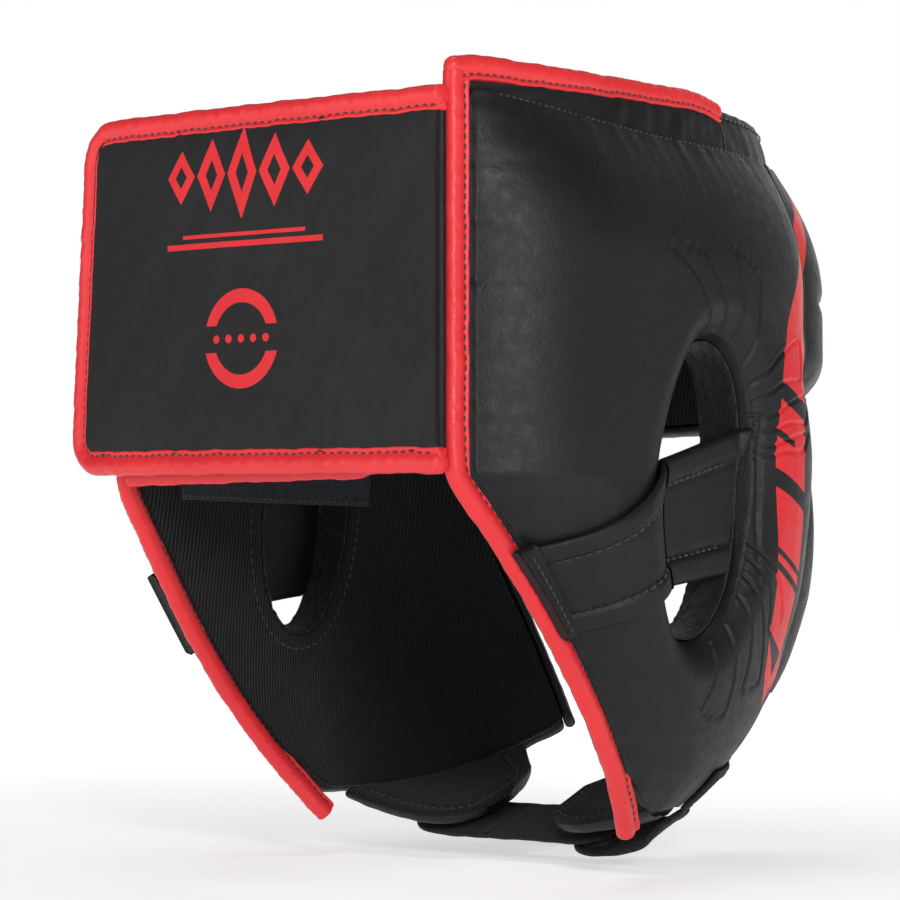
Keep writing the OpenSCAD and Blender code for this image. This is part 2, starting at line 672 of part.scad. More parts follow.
module right_side_cover() { side_cover($right = true); }
module left_side_cover() { side_cover($right = false); }
module right_side_foam() { side_foam($right = true); }
module left_side_foam() { side_foam($right = false); }
module right_side_lining() { side_lining($right = true); }
module left_side_lining() { side_lining($right = false); }
module right_crown_band() { crown_band($right = true); }
module left_crown_band() { crown_band($right = false); }
module right_rear_binding() { rear_binding($right = true); }
module left_rear_binding() { rear_binding($right = false); }
module right_crown_binding() { crown_binding($right = true); }
module left_crown_binding() { crown_binding($right = false); }
module right_ear_wall() { ear_wall($right = true); }
module left_ear_wall() { ear_wall($right = false); }
module right_ear_strap() { ear_strap($right = true); }
module left_ear_strap() { ear_strap($right = false); }
module right_ear_guard() { ear_guard($right = true); }
module left_ear_guard() { ear_guard($right = false); }
module right_strap_end() { strap_end($right = true); }
module left_strap_end() { strap_end($right = false); }
module right_chin_cover() { chin_cover($right = true); }
module left_chin_cover() { chin_cover($right = false); }
module right_chin_foam() { chin_foam($right = true); }
module left_chin_foam() { chin_foam($right = false); }
module right_chin_lining() { chin_lining($right = true); }
module left_chin_lining() { chin_lining($right = false); }
module right_chin_anchor() { chin_anchor($right = true); }
module left_chin_anchor() { chin_anchor($right = false); }

right_side_cover();
left_side_cover();
forehead_cover();
right_side_foam();
left_side_foam();
forehead_foam();
right_side_lining();
left_side_lining();
forehead_lining();
right_crown_band();
left_crown_band();
forehead_crown_margin();
right_rear_binding();
left_rear_binding();
right_crown_binding();
left_crown_binding();
face_opening_welt();
right_ear_wall();
left_ear_wall();
right_ear_strap();
left_ear_strap();
right_ear_guard();
left_ear_guard();
right_strap_end();
left_strap_end();
right_chin_cover();
left_chin_cover();
right_chin_foam();
left_chin_foam();
right_chin_lining();
left_chin_lining();
right_chin_anchor();
left_chin_anchor();
flap_cover();
flap_foam();
flap_lining();
flap_hook_patch();
flap_binding();
tongue_cover();
tongue_loop_patch();
tongue_binding();
hook_strap();
hook_strap_patch();
loop_strap();
loop_strap_patch();
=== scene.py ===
"""The looks of an open-crown boxing headgear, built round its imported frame.

Lengths in the shape functions are millimetres and angles are degrees, and meshes are made in metres.
A place on the head form is (a, z): the angle from the face, positive to the wearer's left, and the height.
"""

import bpy
import numpy as np
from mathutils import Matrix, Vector


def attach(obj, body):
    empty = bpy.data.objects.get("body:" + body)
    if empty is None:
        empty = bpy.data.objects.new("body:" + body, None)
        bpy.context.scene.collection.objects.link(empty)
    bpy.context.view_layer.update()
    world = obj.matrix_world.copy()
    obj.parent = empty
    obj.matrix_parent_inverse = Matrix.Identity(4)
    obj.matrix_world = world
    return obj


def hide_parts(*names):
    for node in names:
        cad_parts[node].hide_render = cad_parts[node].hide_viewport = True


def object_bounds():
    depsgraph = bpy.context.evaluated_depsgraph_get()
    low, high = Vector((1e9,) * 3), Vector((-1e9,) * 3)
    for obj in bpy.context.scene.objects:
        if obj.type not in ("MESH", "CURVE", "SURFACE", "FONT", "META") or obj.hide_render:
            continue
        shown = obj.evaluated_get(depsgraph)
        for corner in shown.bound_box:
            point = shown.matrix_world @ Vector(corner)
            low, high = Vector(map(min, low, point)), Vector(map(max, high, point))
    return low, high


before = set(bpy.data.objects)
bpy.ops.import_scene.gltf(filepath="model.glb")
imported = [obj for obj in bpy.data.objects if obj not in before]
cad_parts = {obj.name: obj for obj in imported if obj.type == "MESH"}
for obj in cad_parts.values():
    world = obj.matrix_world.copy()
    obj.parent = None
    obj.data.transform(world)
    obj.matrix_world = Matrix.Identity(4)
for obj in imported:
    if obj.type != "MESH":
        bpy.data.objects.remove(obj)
cad_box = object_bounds()

MM = 0.001

# ---- the head form that every panel follows ----

INNER_W = 154
FRONT_DEPTH = 102
REAR_DEPTH = 101
REAR_HALF_W = 65.5
SIDE_TAPER = 0.21
FRONT_TAPER = 0.44
CROWN_LEAN = 0.055
CROWN_Z = 127
CROWN_RISE = 3
SEAM_Z = 111
REAR_SEAM_RISE = 6
LEFT_DROP = 9
BROW_Z = 28
TEMPLE_Z = 36
CLOSURE_Z = 2
CHEEK_Z = -78
TIP_Z = -107
PAD_T = 22
EDGE_T = 5.6
GAP = 0.4
LINING_T = 1.4
EAR_W = 38
EAR_H = 89
EAR_ANGLE = 92.5
EAR_WALL_T = 2.4
EAR_N = 2.3
EAR_LEAN = 0.07
EAR_THINNING = 0.68
BIND_W = 8
BIND_T = 6
REAR_N = 2.6
BROW_N = 2.6
CHEEK_N = 1.85
SEAM_ANGLE = 51
CHIN_ANGLE = 17
TIP_ANGLE = 99.3
BAND_END = 69
BAND_T = 2.6
TOP_SHOULDER = 44
REAR_SHOULDER = 28
BOTTOM_SHOULDER = 46
EDGE_SHOULDER = 14
EAR_SHOULDER = 16
SEAM_THINNING = 0.22
TEMPLE_SWELL = 0.2
JAW_THINNING = 0.25

REAR_ANGLE = 180 - np.degrees(np.arctan(REAR_HALF_W / REAR_DEPTH))
REAR_REACH = REAR_DEPTH / (1 - (2 * REAR_HALF_W / INNER_W) ** REAR_N) ** (1 / REAR_N)
MM_PER_DEG = INNER_W / 2 * np.pi / 180


def sind(a):
    return np.sin(np.radians(a))


def cosd(a):
    return np.cos(np.radians(a))


def lerp(a, b, t):
    return a + (b - a) * t


def clamp01(t):
    return np.clip(t, 0, 1)


def shoulder(d, w):
    return 1 - (1 - clamp01(d / w)) ** 2


def below(z, start, span):
    return np.maximum(0, (start - z) / span)


def rounding(d, r):
    """1 at an edge, falling to 0 at r from it along a quarter circle."""
    return 1 - np.sqrt(1 - (1 - clamp01(d / r)) ** 2)


def ridge(x, middle, wide):
    return np.exp(-((x - middle) / wide) ** 2)


def unit(v):
    return v / np.maximum(np.linalg.norm(v, axis=-1, keepdims=True), 1e-9)


def lean(a, z):
    """How far the unpadded margin leans in over the crown; least at the rear corners."""
    rear = 1 - 0.8 * clamp01((np.abs(a) - 110) / 35)
    return 1 - CROWN_LEAN * np.maximum(0, (z - SEAM_Z + 3) / 19) ** 2 * rear


def radius(a, z):
    a = np.abs(a)
    half = INNER_W / 2 * (1 - SIDE_TAPER * below(z, -20, 90) ** 3)
    front = FRONT_DEPTH * (1 - FRONT_TAPER * below(z, 0, 100) ** 3)
    n = np.where(a < 90, lerp(BROW_N, CHEEK_N, clamp01((12 - z) / 72)), REAR_N)
    reach = np.where(a < 90, front, REAR_REACH)
    return lean(a, z) * (np.abs(sind(a) / half) ** n + np.abs(cosd(a) / reach) ** n) ** (-1 / n)


def form(a, z):
    a, z = np.broadcast_arrays(np.asarray(a, float), np.asarray(z, float))
    r = radius(a, z)
    return np.stack([r * sind(a), -r * cosd(a), z], -1)


def outward(a, z):
    return unit(np.cross(form(a + 0.5, z) - form(a - 0.5, z), form(a, z + 0.5) - form(a, z - 0.5)))


def on_form(a, z, w):
    return form(a, z) + np.asarray(w, float)[..., None] * outward(a, z)


def degrees_for(mm, a, z):
    return mm / radius(a, z) * 180 / np.pi


def unrolled(a, z):
    """Places on the form laid out flat, in millimetres."""
    return np.stack([a * MM_PER_DEG, z], -1)


# ---- edges of the panels; side is -1 for the right and 1 for the left ----


def rear_edge(z):
    t = clamp01((CLOSURE_Z - z) / (CLOSURE_Z - TIP_Z))
    return REAR_ANGLE - (REAR_ANGLE - TIP_ANGLE) * (0.77 * t + 0.23 * t ** 3.3)


def side_drop(a, side):
    return (LEFT_DROP if side > 0 else 0) * clamp01((np.abs(a) - 95) / 50) ** 2


def crown_edge(a, side):
    return CROWN_Z + CROWN_RISE * clamp01((REAR_ANGLE - np.abs(a)) / 70) - side_drop(a, side)


def pad_top(a, side):
    return SEAM_Z + REAR_SEAM_RISE * clamp01((np.abs(a) - 95) / 50) ** 2 - side_drop(a, side)


def brow(a):
    return lerp(BROW_Z, TEMPLE_Z, clamp01(np.abs(a) / SEAM_ANGLE) ** 2)


def face_edge(z):
    return lerp(CHIN_ANGLE, SEAM_ANGLE, clamp01((z - CHEEK_Z) / (TEMPLE_Z - CHEEK_Z)) ** 0.85)


def cheek_bottom(a):
    s = clamp01((a - CHIN_ANGLE) / (TIP_ANGLE - CHIN_ANGLE))
    return lerp(CHEEK_Z, TIP_Z + 7, 1 - (1 - s) ** 3)


def ear_radius(t, grow):
    return ((np.abs(cosd(t)) / (EAR_W / 2 + grow)) ** EAR_N
            + (np.abs(sind(t)) / (EAR_H / 2 + grow)) ** EAR_N) ** (-1 / EAR_N)


def ear_point(t, grow):
    r = ear_radius(t, grow)
    z = r * sind(t)
    return EAR_ANGLE + r * cosd(t) / MM_PER_DEG - EAR_LEAN * z, z


def from_ear(a, z):
    return (a - EAR_ANGLE + EAR_LEAN * z) * MM_PER_DEG, z


def ear_distance(a, z):
    x, y = from_ear(a, z)
    return np.maximum(0, np.hypot(x, y) - ear_radius(np.degrees(np.arctan2(y, x)), 0))


def face_distance(a, z):
    beside = (a - face_edge(z)) * MM_PER_DEG
    above = np.hypot((a - SEAM_ANGLE) * MM_PER_DEG, z - TEMPLE_Z)
    return np.where(a < SEAM_ANGLE, np.where(z > brow(a), z - brow(a), beside),
                    np.where(z < TEMPLE_Z, beside, above))


def thickness(a, z, side):
    a = np.abs(a)
    top = shoulder(pad_top(a, side) - z, TOP_SHOULDER)
    rear = shoulder((rear_edge(z) - a) * radius(a, z) * np.pi / 180 - BIND_W, REAR_SHOULDER)
    bottom = shoulder(z - cheek_bottom(a), BOTTOM_SHOULDER)
    face = lerp(0.4, 1, shoulder(face_distance(a, z), EDGE_SHOULDER))
    seam = 1 - SEAM_THINNING * (1 - shoulder(np.abs(a - SEAM_ANGLE) * MM_PER_DEG, EDGE_SHOULDER))
    ear = 1 - EAR_THINNING * (1 - shoulder(ear_distance(a, z), EAR_SHOULDER))
    swell = TEMPLE_SWELL * (1 - clamp01(np.abs(z - 5) / 50) ** 2)
    temple = 1 + swell * clamp01((a - 40) / 10) * clamp01((84 - a) / 20)
    jaw = 1 - JAW_THINNING * clamp01(below(z, -30, 60))
    return EDGE_T + (PAD_T - EDGE_T) * top * rear * bottom * face * seam * ear * temple * jaw


# ---- meshes from grids of points ----


def ripple(s, seed, shortest=5.0, longest=19.0):
    """A smooth irregular wave along s, between about -1 and 1, the same on every run."""
    draw = np.random.default_rng(seed)
    waves = np.linspace(shortest, longest, 5)
    return sum(np.sin(2 * np.pi * s / w + draw.uniform(0, 2 * np.pi)) for w in waves) / 3


def grid_faces(rows, cols, wrap_rows, wrap_cols):
    j, i = np.meshgrid(np.arange(rows if wrap_rows else rows - 1),
                       np.arange(cols if wrap_cols else cols - 1), indexing="ij")
    k, m = (i + 1) % cols, (j + 1) % rows
    return np.stack([j * cols + i, j * cols + k, m * cols + k, m * cols + i], -1).reshape(-1, 4)


def volume_of(points, faces):
    a, b, c, d = (points[faces[:, k]] for k in range(4))
    return (np.einsum("ij,ij->i", a, np.cross(b, c)) + np.einsum("ij,ij->i", a, np.cross(c, d))).sum()


def mirrored(points, side):
    """Points drawn for the wearer's left, put on the side that is asked for."""
    return points * np.array([side, 1, 1])


def make_mesh(name, points, faces, uv=None):
    """A piece from points in millimetres and quads, with its faces turned outward."""
    if volume_of(points, faces) < 0:
        faces = faces[:, ::-1]
    mesh = bpy.data.meshes.new(name)
    mesh.from_pydata((points * MM).tolist(), [], faces.tolist())
    if uv is not None:
        layer = mesh.uv_layers.new(name="flat")
        loops = np.empty(len(mesh.loops), np.int64)
        mesh.loops.foreach_get("vertex_index", loops)
        layer.data.foreach_set("uv", (uv[loops] * MM).astype(np.float32).ravel())
    mesh.validate()
    mesh.polygons.foreach_set("use_smooth", [True] * len(mesh.polygons))
    piece = bpy.data.objects.new(name, mesh)
    bpy.context.scene.collection.objects.link(piece)
    return piece


def shell(name, outer, inner, flat=None, side=1, ring=False):
    """A closed skin between two grids; in a ring the columns join up."""
    loop = mirrored(np.concatenate([outer, inner[::-1]]), side)
    rows, cols = loop.shape[:2]
    faces = grid_faces(rows, cols, True, ring)
    if not ring:
        j = np.arange(len(outer) - 1)
        left = np.stack([j, j + 1, rows - 2 - j, rows - 1 - j], -1) * cols
        faces = np.concatenate([faces, left[:, ::-1], left + cols - 1])
    uv = None if flat is None else np.concatenate([flat, flat[::-1]]).reshape(-1, 2)
    return make_mesh(name, loop.reshape(-1, 3), faces, uv)


def tube(name, rings, flat=None):
    """A closed bar through rings of points; its two ends are drawn in to a point."""
    ends = [np.repeat(r.mean(0)[None], len(r), 0) for r in (rings[0], rings[-1])]
    rings = np.concatenate([ends[0][None], rings, ends[1][None]])
    faces = grid_faces(rings.shape[0], rings.shape[1], False, True)
    uv = None
    if flat is not None:
        uv = np.concatenate([flat[:1], flat, flat[-1:]]).reshape(-1, 2)
    return make_mesh(name, rings.reshape(-1, 3), faces, uv)


def walk(points, step, *others):
    """Points spaced evenly along a line, and anything else that goes with them."""
    s = np.concatenate([[0], np.cumsum(np.linalg.norm(np.diff(points, axis=0), axis=1))])
    at = np.linspace(0, s[-1], max(2, int(round(s[-1] / step)) + 1))
    spread = [np.stack([np.interp(at, s, p[:, k]) for k in range(p.shape[1])], -1) for p in (points, *others)]
    return at, *spread


def smoothed(points, passes, loop=False):
    for _ in range(passes):
        if loop:
            points = (np.roll(points, 1, 0) + 2 * points + np.roll(points, -1, 0)) / 4
        else:
            inner = (points[:-2] + 2 * points[1:-1] + points[2:]) / 4
            points = np.concatenate([points[:1], inner, points[-1:]])
    return points


# ---- shader maths ----


class Wire:
    """A shader value; sums of wires add Math nodes."""

    def __init__(self, finish, socket):
        self.finish = finish
        self.socket = socket

    def math(self, operation, *values):
        return self.finish.node("ShaderNodeMath", {"operation": operation}, *values)

    def __add__(self, other):
        return self.math("ADD", self, other)

    def __sub__(self, other):
        return self.math("SUBTRACT", self, other)

    def __rsub__(self, other):
        return self.math("SUBTRACT", other, self)

    def __mul__(self, other):
        return self.math("MULTIPLY", self, other)

    def __truediv__(self, other):
        return self.math("DIVIDE", self, other)

    def __abs__(self):
        return self.math("ABSOLUTE", self)

    def __gt__(self, other):
        return self.math("GREATER_THAN", self, other)

    def __lt__(self, other):
        return self.math("LESS_THAN", self, other)

    __radd__ = __add__
    __rmul__ = __mul__

    def least(self, other):
        return self.math("MINIMUM", self, other)

    def most(self, other):
        return self.math("MAXIMUM", self, other)

    def sine(self):
        return self.math("SINE", self)

    def root(self):
        return self.math("SQRT", self)


class Finish:
    """A material and the nodes of its surface."""

    def __init__(self, name, colour, roughness, **settings):
        self.material = bpy.data.materials.new(name)
        self.material.use_nodes = True
        self.tree = self.material.node_tree
        self.surface = self.tree.nodes["Principled BSDF"]
        self.material.diffuse_color = (*colour, 1)
        self.set("Base Color", (*colour, 1))
        self.set("Roughness", roughness)
        for socket, value in settings.items():
            self.set(socket.replace("_", " ").title().replace("Ior", "IOR"), value)

    def set(self, socket, value):
        self.join(self.surface.inputs[socket], value)

    def join(self, socket, value):
        if isinstance(value, Wire):
            self.tree.links.new(value.socket, socket)
        else:
            socket.default_value = value

    def node(self, kind, settings, *values, out=0, **named):
        made = self.tree.nodes.new(kind)
        for key, value in settings.items():
            setattr(made, key, value)
        for socket, value in zip(made.inputs, values):
            self.join(socket, value)
        for key, value in named.items():
            self.join(made.inputs[key.replace("_", " ")], value)
        return Wire(self, made.outputs[out])

    def place(self):
        """Object coordinates, in metres."""
        return self.node("ShaderNodeTexCoord", {}, out="Object")

    def flat(self):
        """The two ways across the piece's own flat pattern, in metres."""
        uv = self.node("ShaderNodeUVMap", {"uv_map": "flat"})
        parts = self.node("ShaderNodeSeparateXYZ", {}, uv)
        return parts, Wire(self, parts.socket.node.outputs[1])

    def noise(self, where, scale, detail=2.0, rough=0.5):
        return self.node("ShaderNodeTexNoise", {}, Vector=where, Scale=scale, Detail=detail, Roughness=rough)

    def cells(self, where, scale, feature="F1"):
        return self.node("ShaderNodeTexVoronoi", {"feature": feature}, Vector=where, Scale=scale)

    def between(self, value, low, high, to_low=0.0, to_high=1.0):
        return self.node("ShaderNodeMapRange", {}, value, low, high, to_low, to_high)

    def mix(self, share, first, second):
        made = self.tree.nodes.new("ShaderNodeMix")
        made.data_type = "RGBA"
        self.join(made.inputs[0], share)
        self.join(made.inputs[6], first)
        self.join(made.inputs[7], second)
        return Wire(self, made.outputs[2])

    def bump(self, height, distance, strength=1.0, under=None):
        made = {"Height": height, "Distance": distance, "Strength": strength}
        if under is not None:
            made["Normal"] = under
        return self.node("ShaderNodeBump", {}, **made)


BLACK = (0.0055, 0.0055, 0.0059)
RED = (0.66, 0.02, 0.026)


def leather_grain(finish, depth=0.00006):
    where = finish.place()
    pores = finish.cells(where, 900)
    creases = finish.noise(where, 260, 4.0, 0.6)
    broad = finish.noise(where, 22, 3.0)
    fine = finish.bump(pores, depth)
    finish.set("Normal", finish.bump(creases, depth * 2.2, under=fine))
    return broad, creases


def bar(u, v, centre, half):
    """1 inside a rectangle, in metres across the flat pattern."""
    return (abs(u - centre[0]) - half[0]).most(abs(v - centre[1]) - half[1]) < 0.0


def black_leather(name, print_mask=None, roughness=0.5, colour=BLACK):
    finish = Finish(name, colour, roughness, specular_ior_level=0.3)
    broad, creases = leather_grain(finish)
    worn = finish.between(broad, 0.35, 0.7, 0.0, 1.0)
    base = finish.mix(worn, (*colour, 1), (*(c * 1.5 for c in colour), 1))
    rough = finish.between(creases, 0.3, 0.7, roughness - 0.05, roughness + 0.09)
    if print_mask is not None:
        ink = print_mask(finish)
        base = finish.mix(ink, base, (*RED, 1))
        rough = rough + ink * -0.06
    finish.set("Base Color", base)
    finish.set("Roughness", rough)
    return finish.material


def red_leather():
    finish = Finish("red binding leather", RED, 0.42, specular_ior_level=0.4)
    broad, creases = leather_grain(finish, 0.00005)
    finish.set("Base Color", finish.mix(finish.between(broad, 0.3, 0.7), (*RED, 1), (0.74, 0.03, 0.036, 1)))
    finish.set("Roughness", finish.between(creases, 0.3, 0.7, 0.36, 0.5))
    return finish.material


def thread(name, colour):
    finish = Finish(name, colour, 0.6, sheen_weight=0.3)
    twist = finish.noise(finish.place(), 2600, 2.0)
    finish.set("Base Color", finish.mix(twist, (*(c * 0.6 for c in colour), 1), (*colour, 1)))
    finish.set("Normal", finish.bump(twist, 0.0001))
    return finish.material


def rib_mesh():
    """Lining mesh: fine ribs that run with the pattern, crossed by rows of small holes."""
    finish = Finish("rib mesh lining", (0.008, 0.008, 0.0085), 0.8, specular_ior_level=0.2, sheen_weight=0.06)
    u, v = finish.flat()
    ribs = ((u + v * 0.12) * (2 * np.pi / 0.0013)).sine()
    rows = ((v + u * 0.5) * (2 * np.pi / 0.0011)).sine()
    height = ribs * 0.7 + ribs * rows * 0.3
    cloudy = finish.noise(finish.place(), 35, 3.0)
    tone = finish.between(height, -0.8, 0.9) * 0.75 + cloudy * 0.25
    finish.set("Base Color", finish.mix(tone, (0.0018, 0.0018, 0.002, 1), (0.0085, 0.0085, 0.0092, 1)))
    finish.set("Roughness", finish.between(cloudy, 0.3, 0.7, 0.66, 0.85))
    finish.set("Normal", finish.bump(height, 0.00022))
    return finish.material


def short_fleece():
    finish = Finish("ear fleece", (0.006, 0.006, 0.006), 0.95, specular_ior_level=0.15, sheen_weight=0.12)
    where = finish.place()
    tufts = finish.noise(where, 420, 6.0, 0.7)
    clumps = finish.noise(where, 120, 4.0)
    finish.set("Base Color", finish.mix(finish.between(tufts * 0.6 + clumps * 0.4, 0.35, 0.65),
                                        (0.002, 0.002, 0.002, 1), (0.014, 0.014, 0.0145, 1)))
    finish.set("Normal", finish.bump(tufts * 0.7 + clumps * 0.6, 0.0012))
    return finish.material


def webbing():
    """Woven tape: ribs across it and a fine twill along it."""
    finish = Finish("woven webbing", (0.009, 0.009, 0.0095), 0.75, specular_ior_level=0.2, sheen_weight=0.05)
    u, v = finish.flat()
    weave = ((u * (2 * np.pi / 0.0011)).sine()) * (((v + u * 0.5) * (2 * np.pi / 0.0009)).sine())
    fluff = finish.noise(finish.place(), 300, 3.0)
    finish.set("Base Color", finish.mix(finish.between(weave + fluff, -0.4, 1.2),
                                        (0.004, 0.004, 0.0045, 1), (0.018, 0.018, 0.019, 1)))
    finish.set("Normal", finish.bump(weave * 0.7 + fluff * 0.5, 0.00018))
    return finish.material


def tape(name, colour, scale, height):
    """Hook or loop tape: a dense field of tiny ends."""
    finish = Finish(name, colour, 0.85, specular_ior_level=0.2, sheen_weight=0.1)
    where = finish.place()
    ends = finish.cells(where, scale)
    fluff = finish.noise(where, scale * 0.4, 4.0, 0.7)
    finish.set("Base Color", finish.mix(finish.between(ends + fluff, 0.4, 1.2), (*colour, 1),
                                        (*(c * 2.4 for c in colour), 1)))
    finish.set("Normal", finish.bump(ends * 0.6 + fluff, height))
    return finish.material


# Red print on the panels: a stripe that tapers out over the temple, then slanted blocks down the cheek
STRIPE_MIDDLE = 10
STRIPE_BOW = 0.0031


def panel_print(finish):
    u, v = finish.flat()
    a = abs(u) * (1 / (MM_PER_DEG * MM))
    z = v * (1 / MM)
    high = z.most(STRIPE_MIDDLE) - STRIPE_MIDDLE
    low = z.least(-20.0) + 20.0
    rear = 70.4 - high * high * STRIPE_BOW - low * low * 0.0012
    taper = z.most(30.0) - 30.0
    wide = 9.5 - taper * taper * 0.0013
    across = (rear - a) / wide
    inside = (across > 0.0) * (across < 1.0)
    slant = z + across * 7.0
    ink = (slant > 36.0) * (z < 112.0)
    for base, top in ((8.0, 30.0), (-17.0, 2.0), (-21.5, -19.0), (-43.0, -24.0)):
        ink = ink.most((slant > base) * (slant < top))
    notch = (abs(slant - 19.0) < 1.2) * (across < 0.55)
    chevron = z - abs(across - 0.5) * 22.0
    ink = ink.most((chevron > -66.0) * (chevron < -56.0))
    return inside * ink * (1 - notch)


def flap_print(finish):
    """A row of lozenges on a rule, over a broken ring with dots."""
    u, v = finish.flat()
    ink = bar(u, v, (0.073, 0.0715), (0.033, 0.0009))
    ink = ink.most(bar(u, v, (0.073, 0.0745), (0.026, 0.0006)))
    for k, tall in enumerate((0.0085, 0.0115, 0.0145, 0.0115, 0.0085)):
        du = abs(u - (0.0462 + 0.0134 * k)) * (1 / 0.0062)
        dv = abs(v - 0.0935) * (1 / tall)
        ink = ink.most((du + dv < 1.0) * (du + dv > 0.42))
    du, dv = u - 0.073, v - 0.042
    far = (du * du + dv * dv).root()
    ring = (far > 0.0112) * (far < 0.0155) * (abs(dv) > 0.0042)
    ink = ink.most(ring)
    for k in range(5):
        du = u - (0.0626 + 0.0052 * k)
        ink = ink.most((du * du + dv * dv).root() < 0.0013)
    return ink


# Each look is the record's slot and the material that finishes it
PANEL_LEATHER = "black_cover", black_leather("panel leather", panel_print)
PLAIN_LEATHER = "black_cover", black_leather("plain leather", roughness=0.52)
FLAP_LEATHER = "black_cover", black_leather("flap leather", flap_print, 0.62, (0.0065, 0.0067, 0.0069))
RED_LEATHER = "red_binding", red_leather()
# Red thread coloured far darker than the red binding: partly the thread's own red, partly painted shade
# standing in for the shadow in the needle holes and stitch groove
RED_STITCHES_DARKENED_AS_SHADE = "red_binding", thread("red thread darkened as painted shade", (0.1, 0.004, 0.006))
BLACK_STITCHES = "black_cover", thread("black thread", (0.009, 0.009, 0.01))
LINING_STITCHES = "mesh_lining", thread("grey thread", (0.035, 0.035, 0.036))
TAPE_STITCHES = "loop_tape", LINING_STITCHES[1]
RIB_MESH = "mesh_lining", rib_mesh()
FLEECE = "fleece", short_fleece()
WEBBING = "webbing", webbing()
HOOK_TAPE = "hook_tape", tape("hook tape", (0.006, 0.006, 0.0065), 1400, 0.0004)
LOOP_TAPE = "loop_tape", tape("loop tape", (0.012, 0.0135, 0.017), 700, 0.0006)


def fit(piece, body, look, replaces=()):
    """Gives a piece its body and the material of its look, and hides the solids that it stands for."""
    slot, material = look
    piece.data.materials.append(material)
    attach(piece, body)
    if replaces:
        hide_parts(*replaces)
    return piece


# ---- stitches: one stitch is modelled, then copied along each seam ----


def one_stitch():
    """A thread's visible run: a six-sided bar, 1 long and 1 thick, that dives in at both ends."""
    bpy.ops.object.select_all(action="DESELECT")
    bpy.ops.mesh.primitive_cylinder_add(vertices=6, radius=0.5, depth=1, end_fill_type="TRIFAN")
    bar = bpy.context.object
    bpy.ops.object.mode_set(mode="EDIT")
    bpy.ops.mesh.select_all(action="SELECT")
    bpy.ops.mesh.bisect(plane_co=(0, 0, 0.28), plane_no=(0, 0, 1))
    bpy.ops.mesh.select_all(action="SELECT")
    bpy.ops.mesh.bisect(plane_co=(0, 0, -0.28), plane_no=(0, 0, 1))
    bpy.ops.object.mode_set(mode="OBJECT")
    points = np.array([v.co for v in bar.data.vertices])
    faces = [tuple(p.vertices) for p in bar.data.polygons]
    bpy.data.objects.remove(bar)
    ends = np.abs(points[:, 2]) > 0.4
    points[ends, :2] *= 0.45
    points[ends, 1] -= 0.35
    return points, faces


STITCH = one_stitch()


def stitch_row(name, line, up, body, look, pitch=3.0, length=2.1, thick=0.62, start=1.5):
    """Stitches along a line of points; up is the way out of the surface at each point."""
    at, line, up = walk(line, 0.5, up)
    places = np.arange(start, at[-1] - start, pitch)
    base, quads = STITCH
    points, faces = [], []
    for s in places:
        here = np.array([np.interp(s, at, line[:, k]) for k in range(3)])
        ahead = np.array([np.interp(s + 0.5, at, line[:, k]) for k in range(3)])
        out = unit(np.array([np.interp(s, at, up[:, k]) for k in range(3)]))
        along = unit(ahead - here)
        side = np.cross(out, along)
        start_at = len(points) * len(base)
        points.append(here + base[:, :1] * side * thick + base[:, 1:2] * out * thick
                      + base[:, 2:] * along * length)
        faces += [tuple(start_at + k for k in f) for f in quads]
    mesh = bpy.data.meshes.new(name)
    mesh.from_pydata((np.concatenate(points) * MM).tolist(), [], faces)
    mesh.polygons.foreach_set("use_smooth", [True] * len(mesh.polygons))
    row = bpy.data.objects.new(name, mesh)
    bpy.context.scene.collection.objects.link(row)
    fit(row, body, look)


def seam_row(name, a, z, w, side, look, face=1, **how):
    """Stitches along a line on the form, w out of it, on its outer face (1) or its inner face (-1)."""
    up = mirrored(face * outward(a, z), side)
    stitch_row(name, mirrored(on_form(a, z, w), side), up, "shell", look, **how)


# ---- bindings: a folded tape with a stitched groove near its inner edge ----

BIND_ACROSS = np.array([0, 0.2, 0.6, 1.15, 1.7, 2.3, 3.1, 4.3, 5.5, 6.5, 7.3, 7.8])
BIND_HEIGHT = np.array([1.3, 1.95, 2.2, 1.95, 1.45, 1.95, 2.55, 2.92, 2.96, 2.6, 1.85, 0.95])
STITCH_AT = 1.7


def binding_profile(thick):
    """The folded tape's outline as (across, up), from its inner edge at -half to its rim at half."""
    x = np.concatenate([BIND_ACROSS, [8], BIND_ACROSS[::-1]]) / 8 * BIND_W - BIND_W / 2
    y = np.concatenate([BIND_HEIGHT, [0], -BIND_HEIGHT[::-1]]) / BIND_T * thick
    return np.stack([x, y], -1)


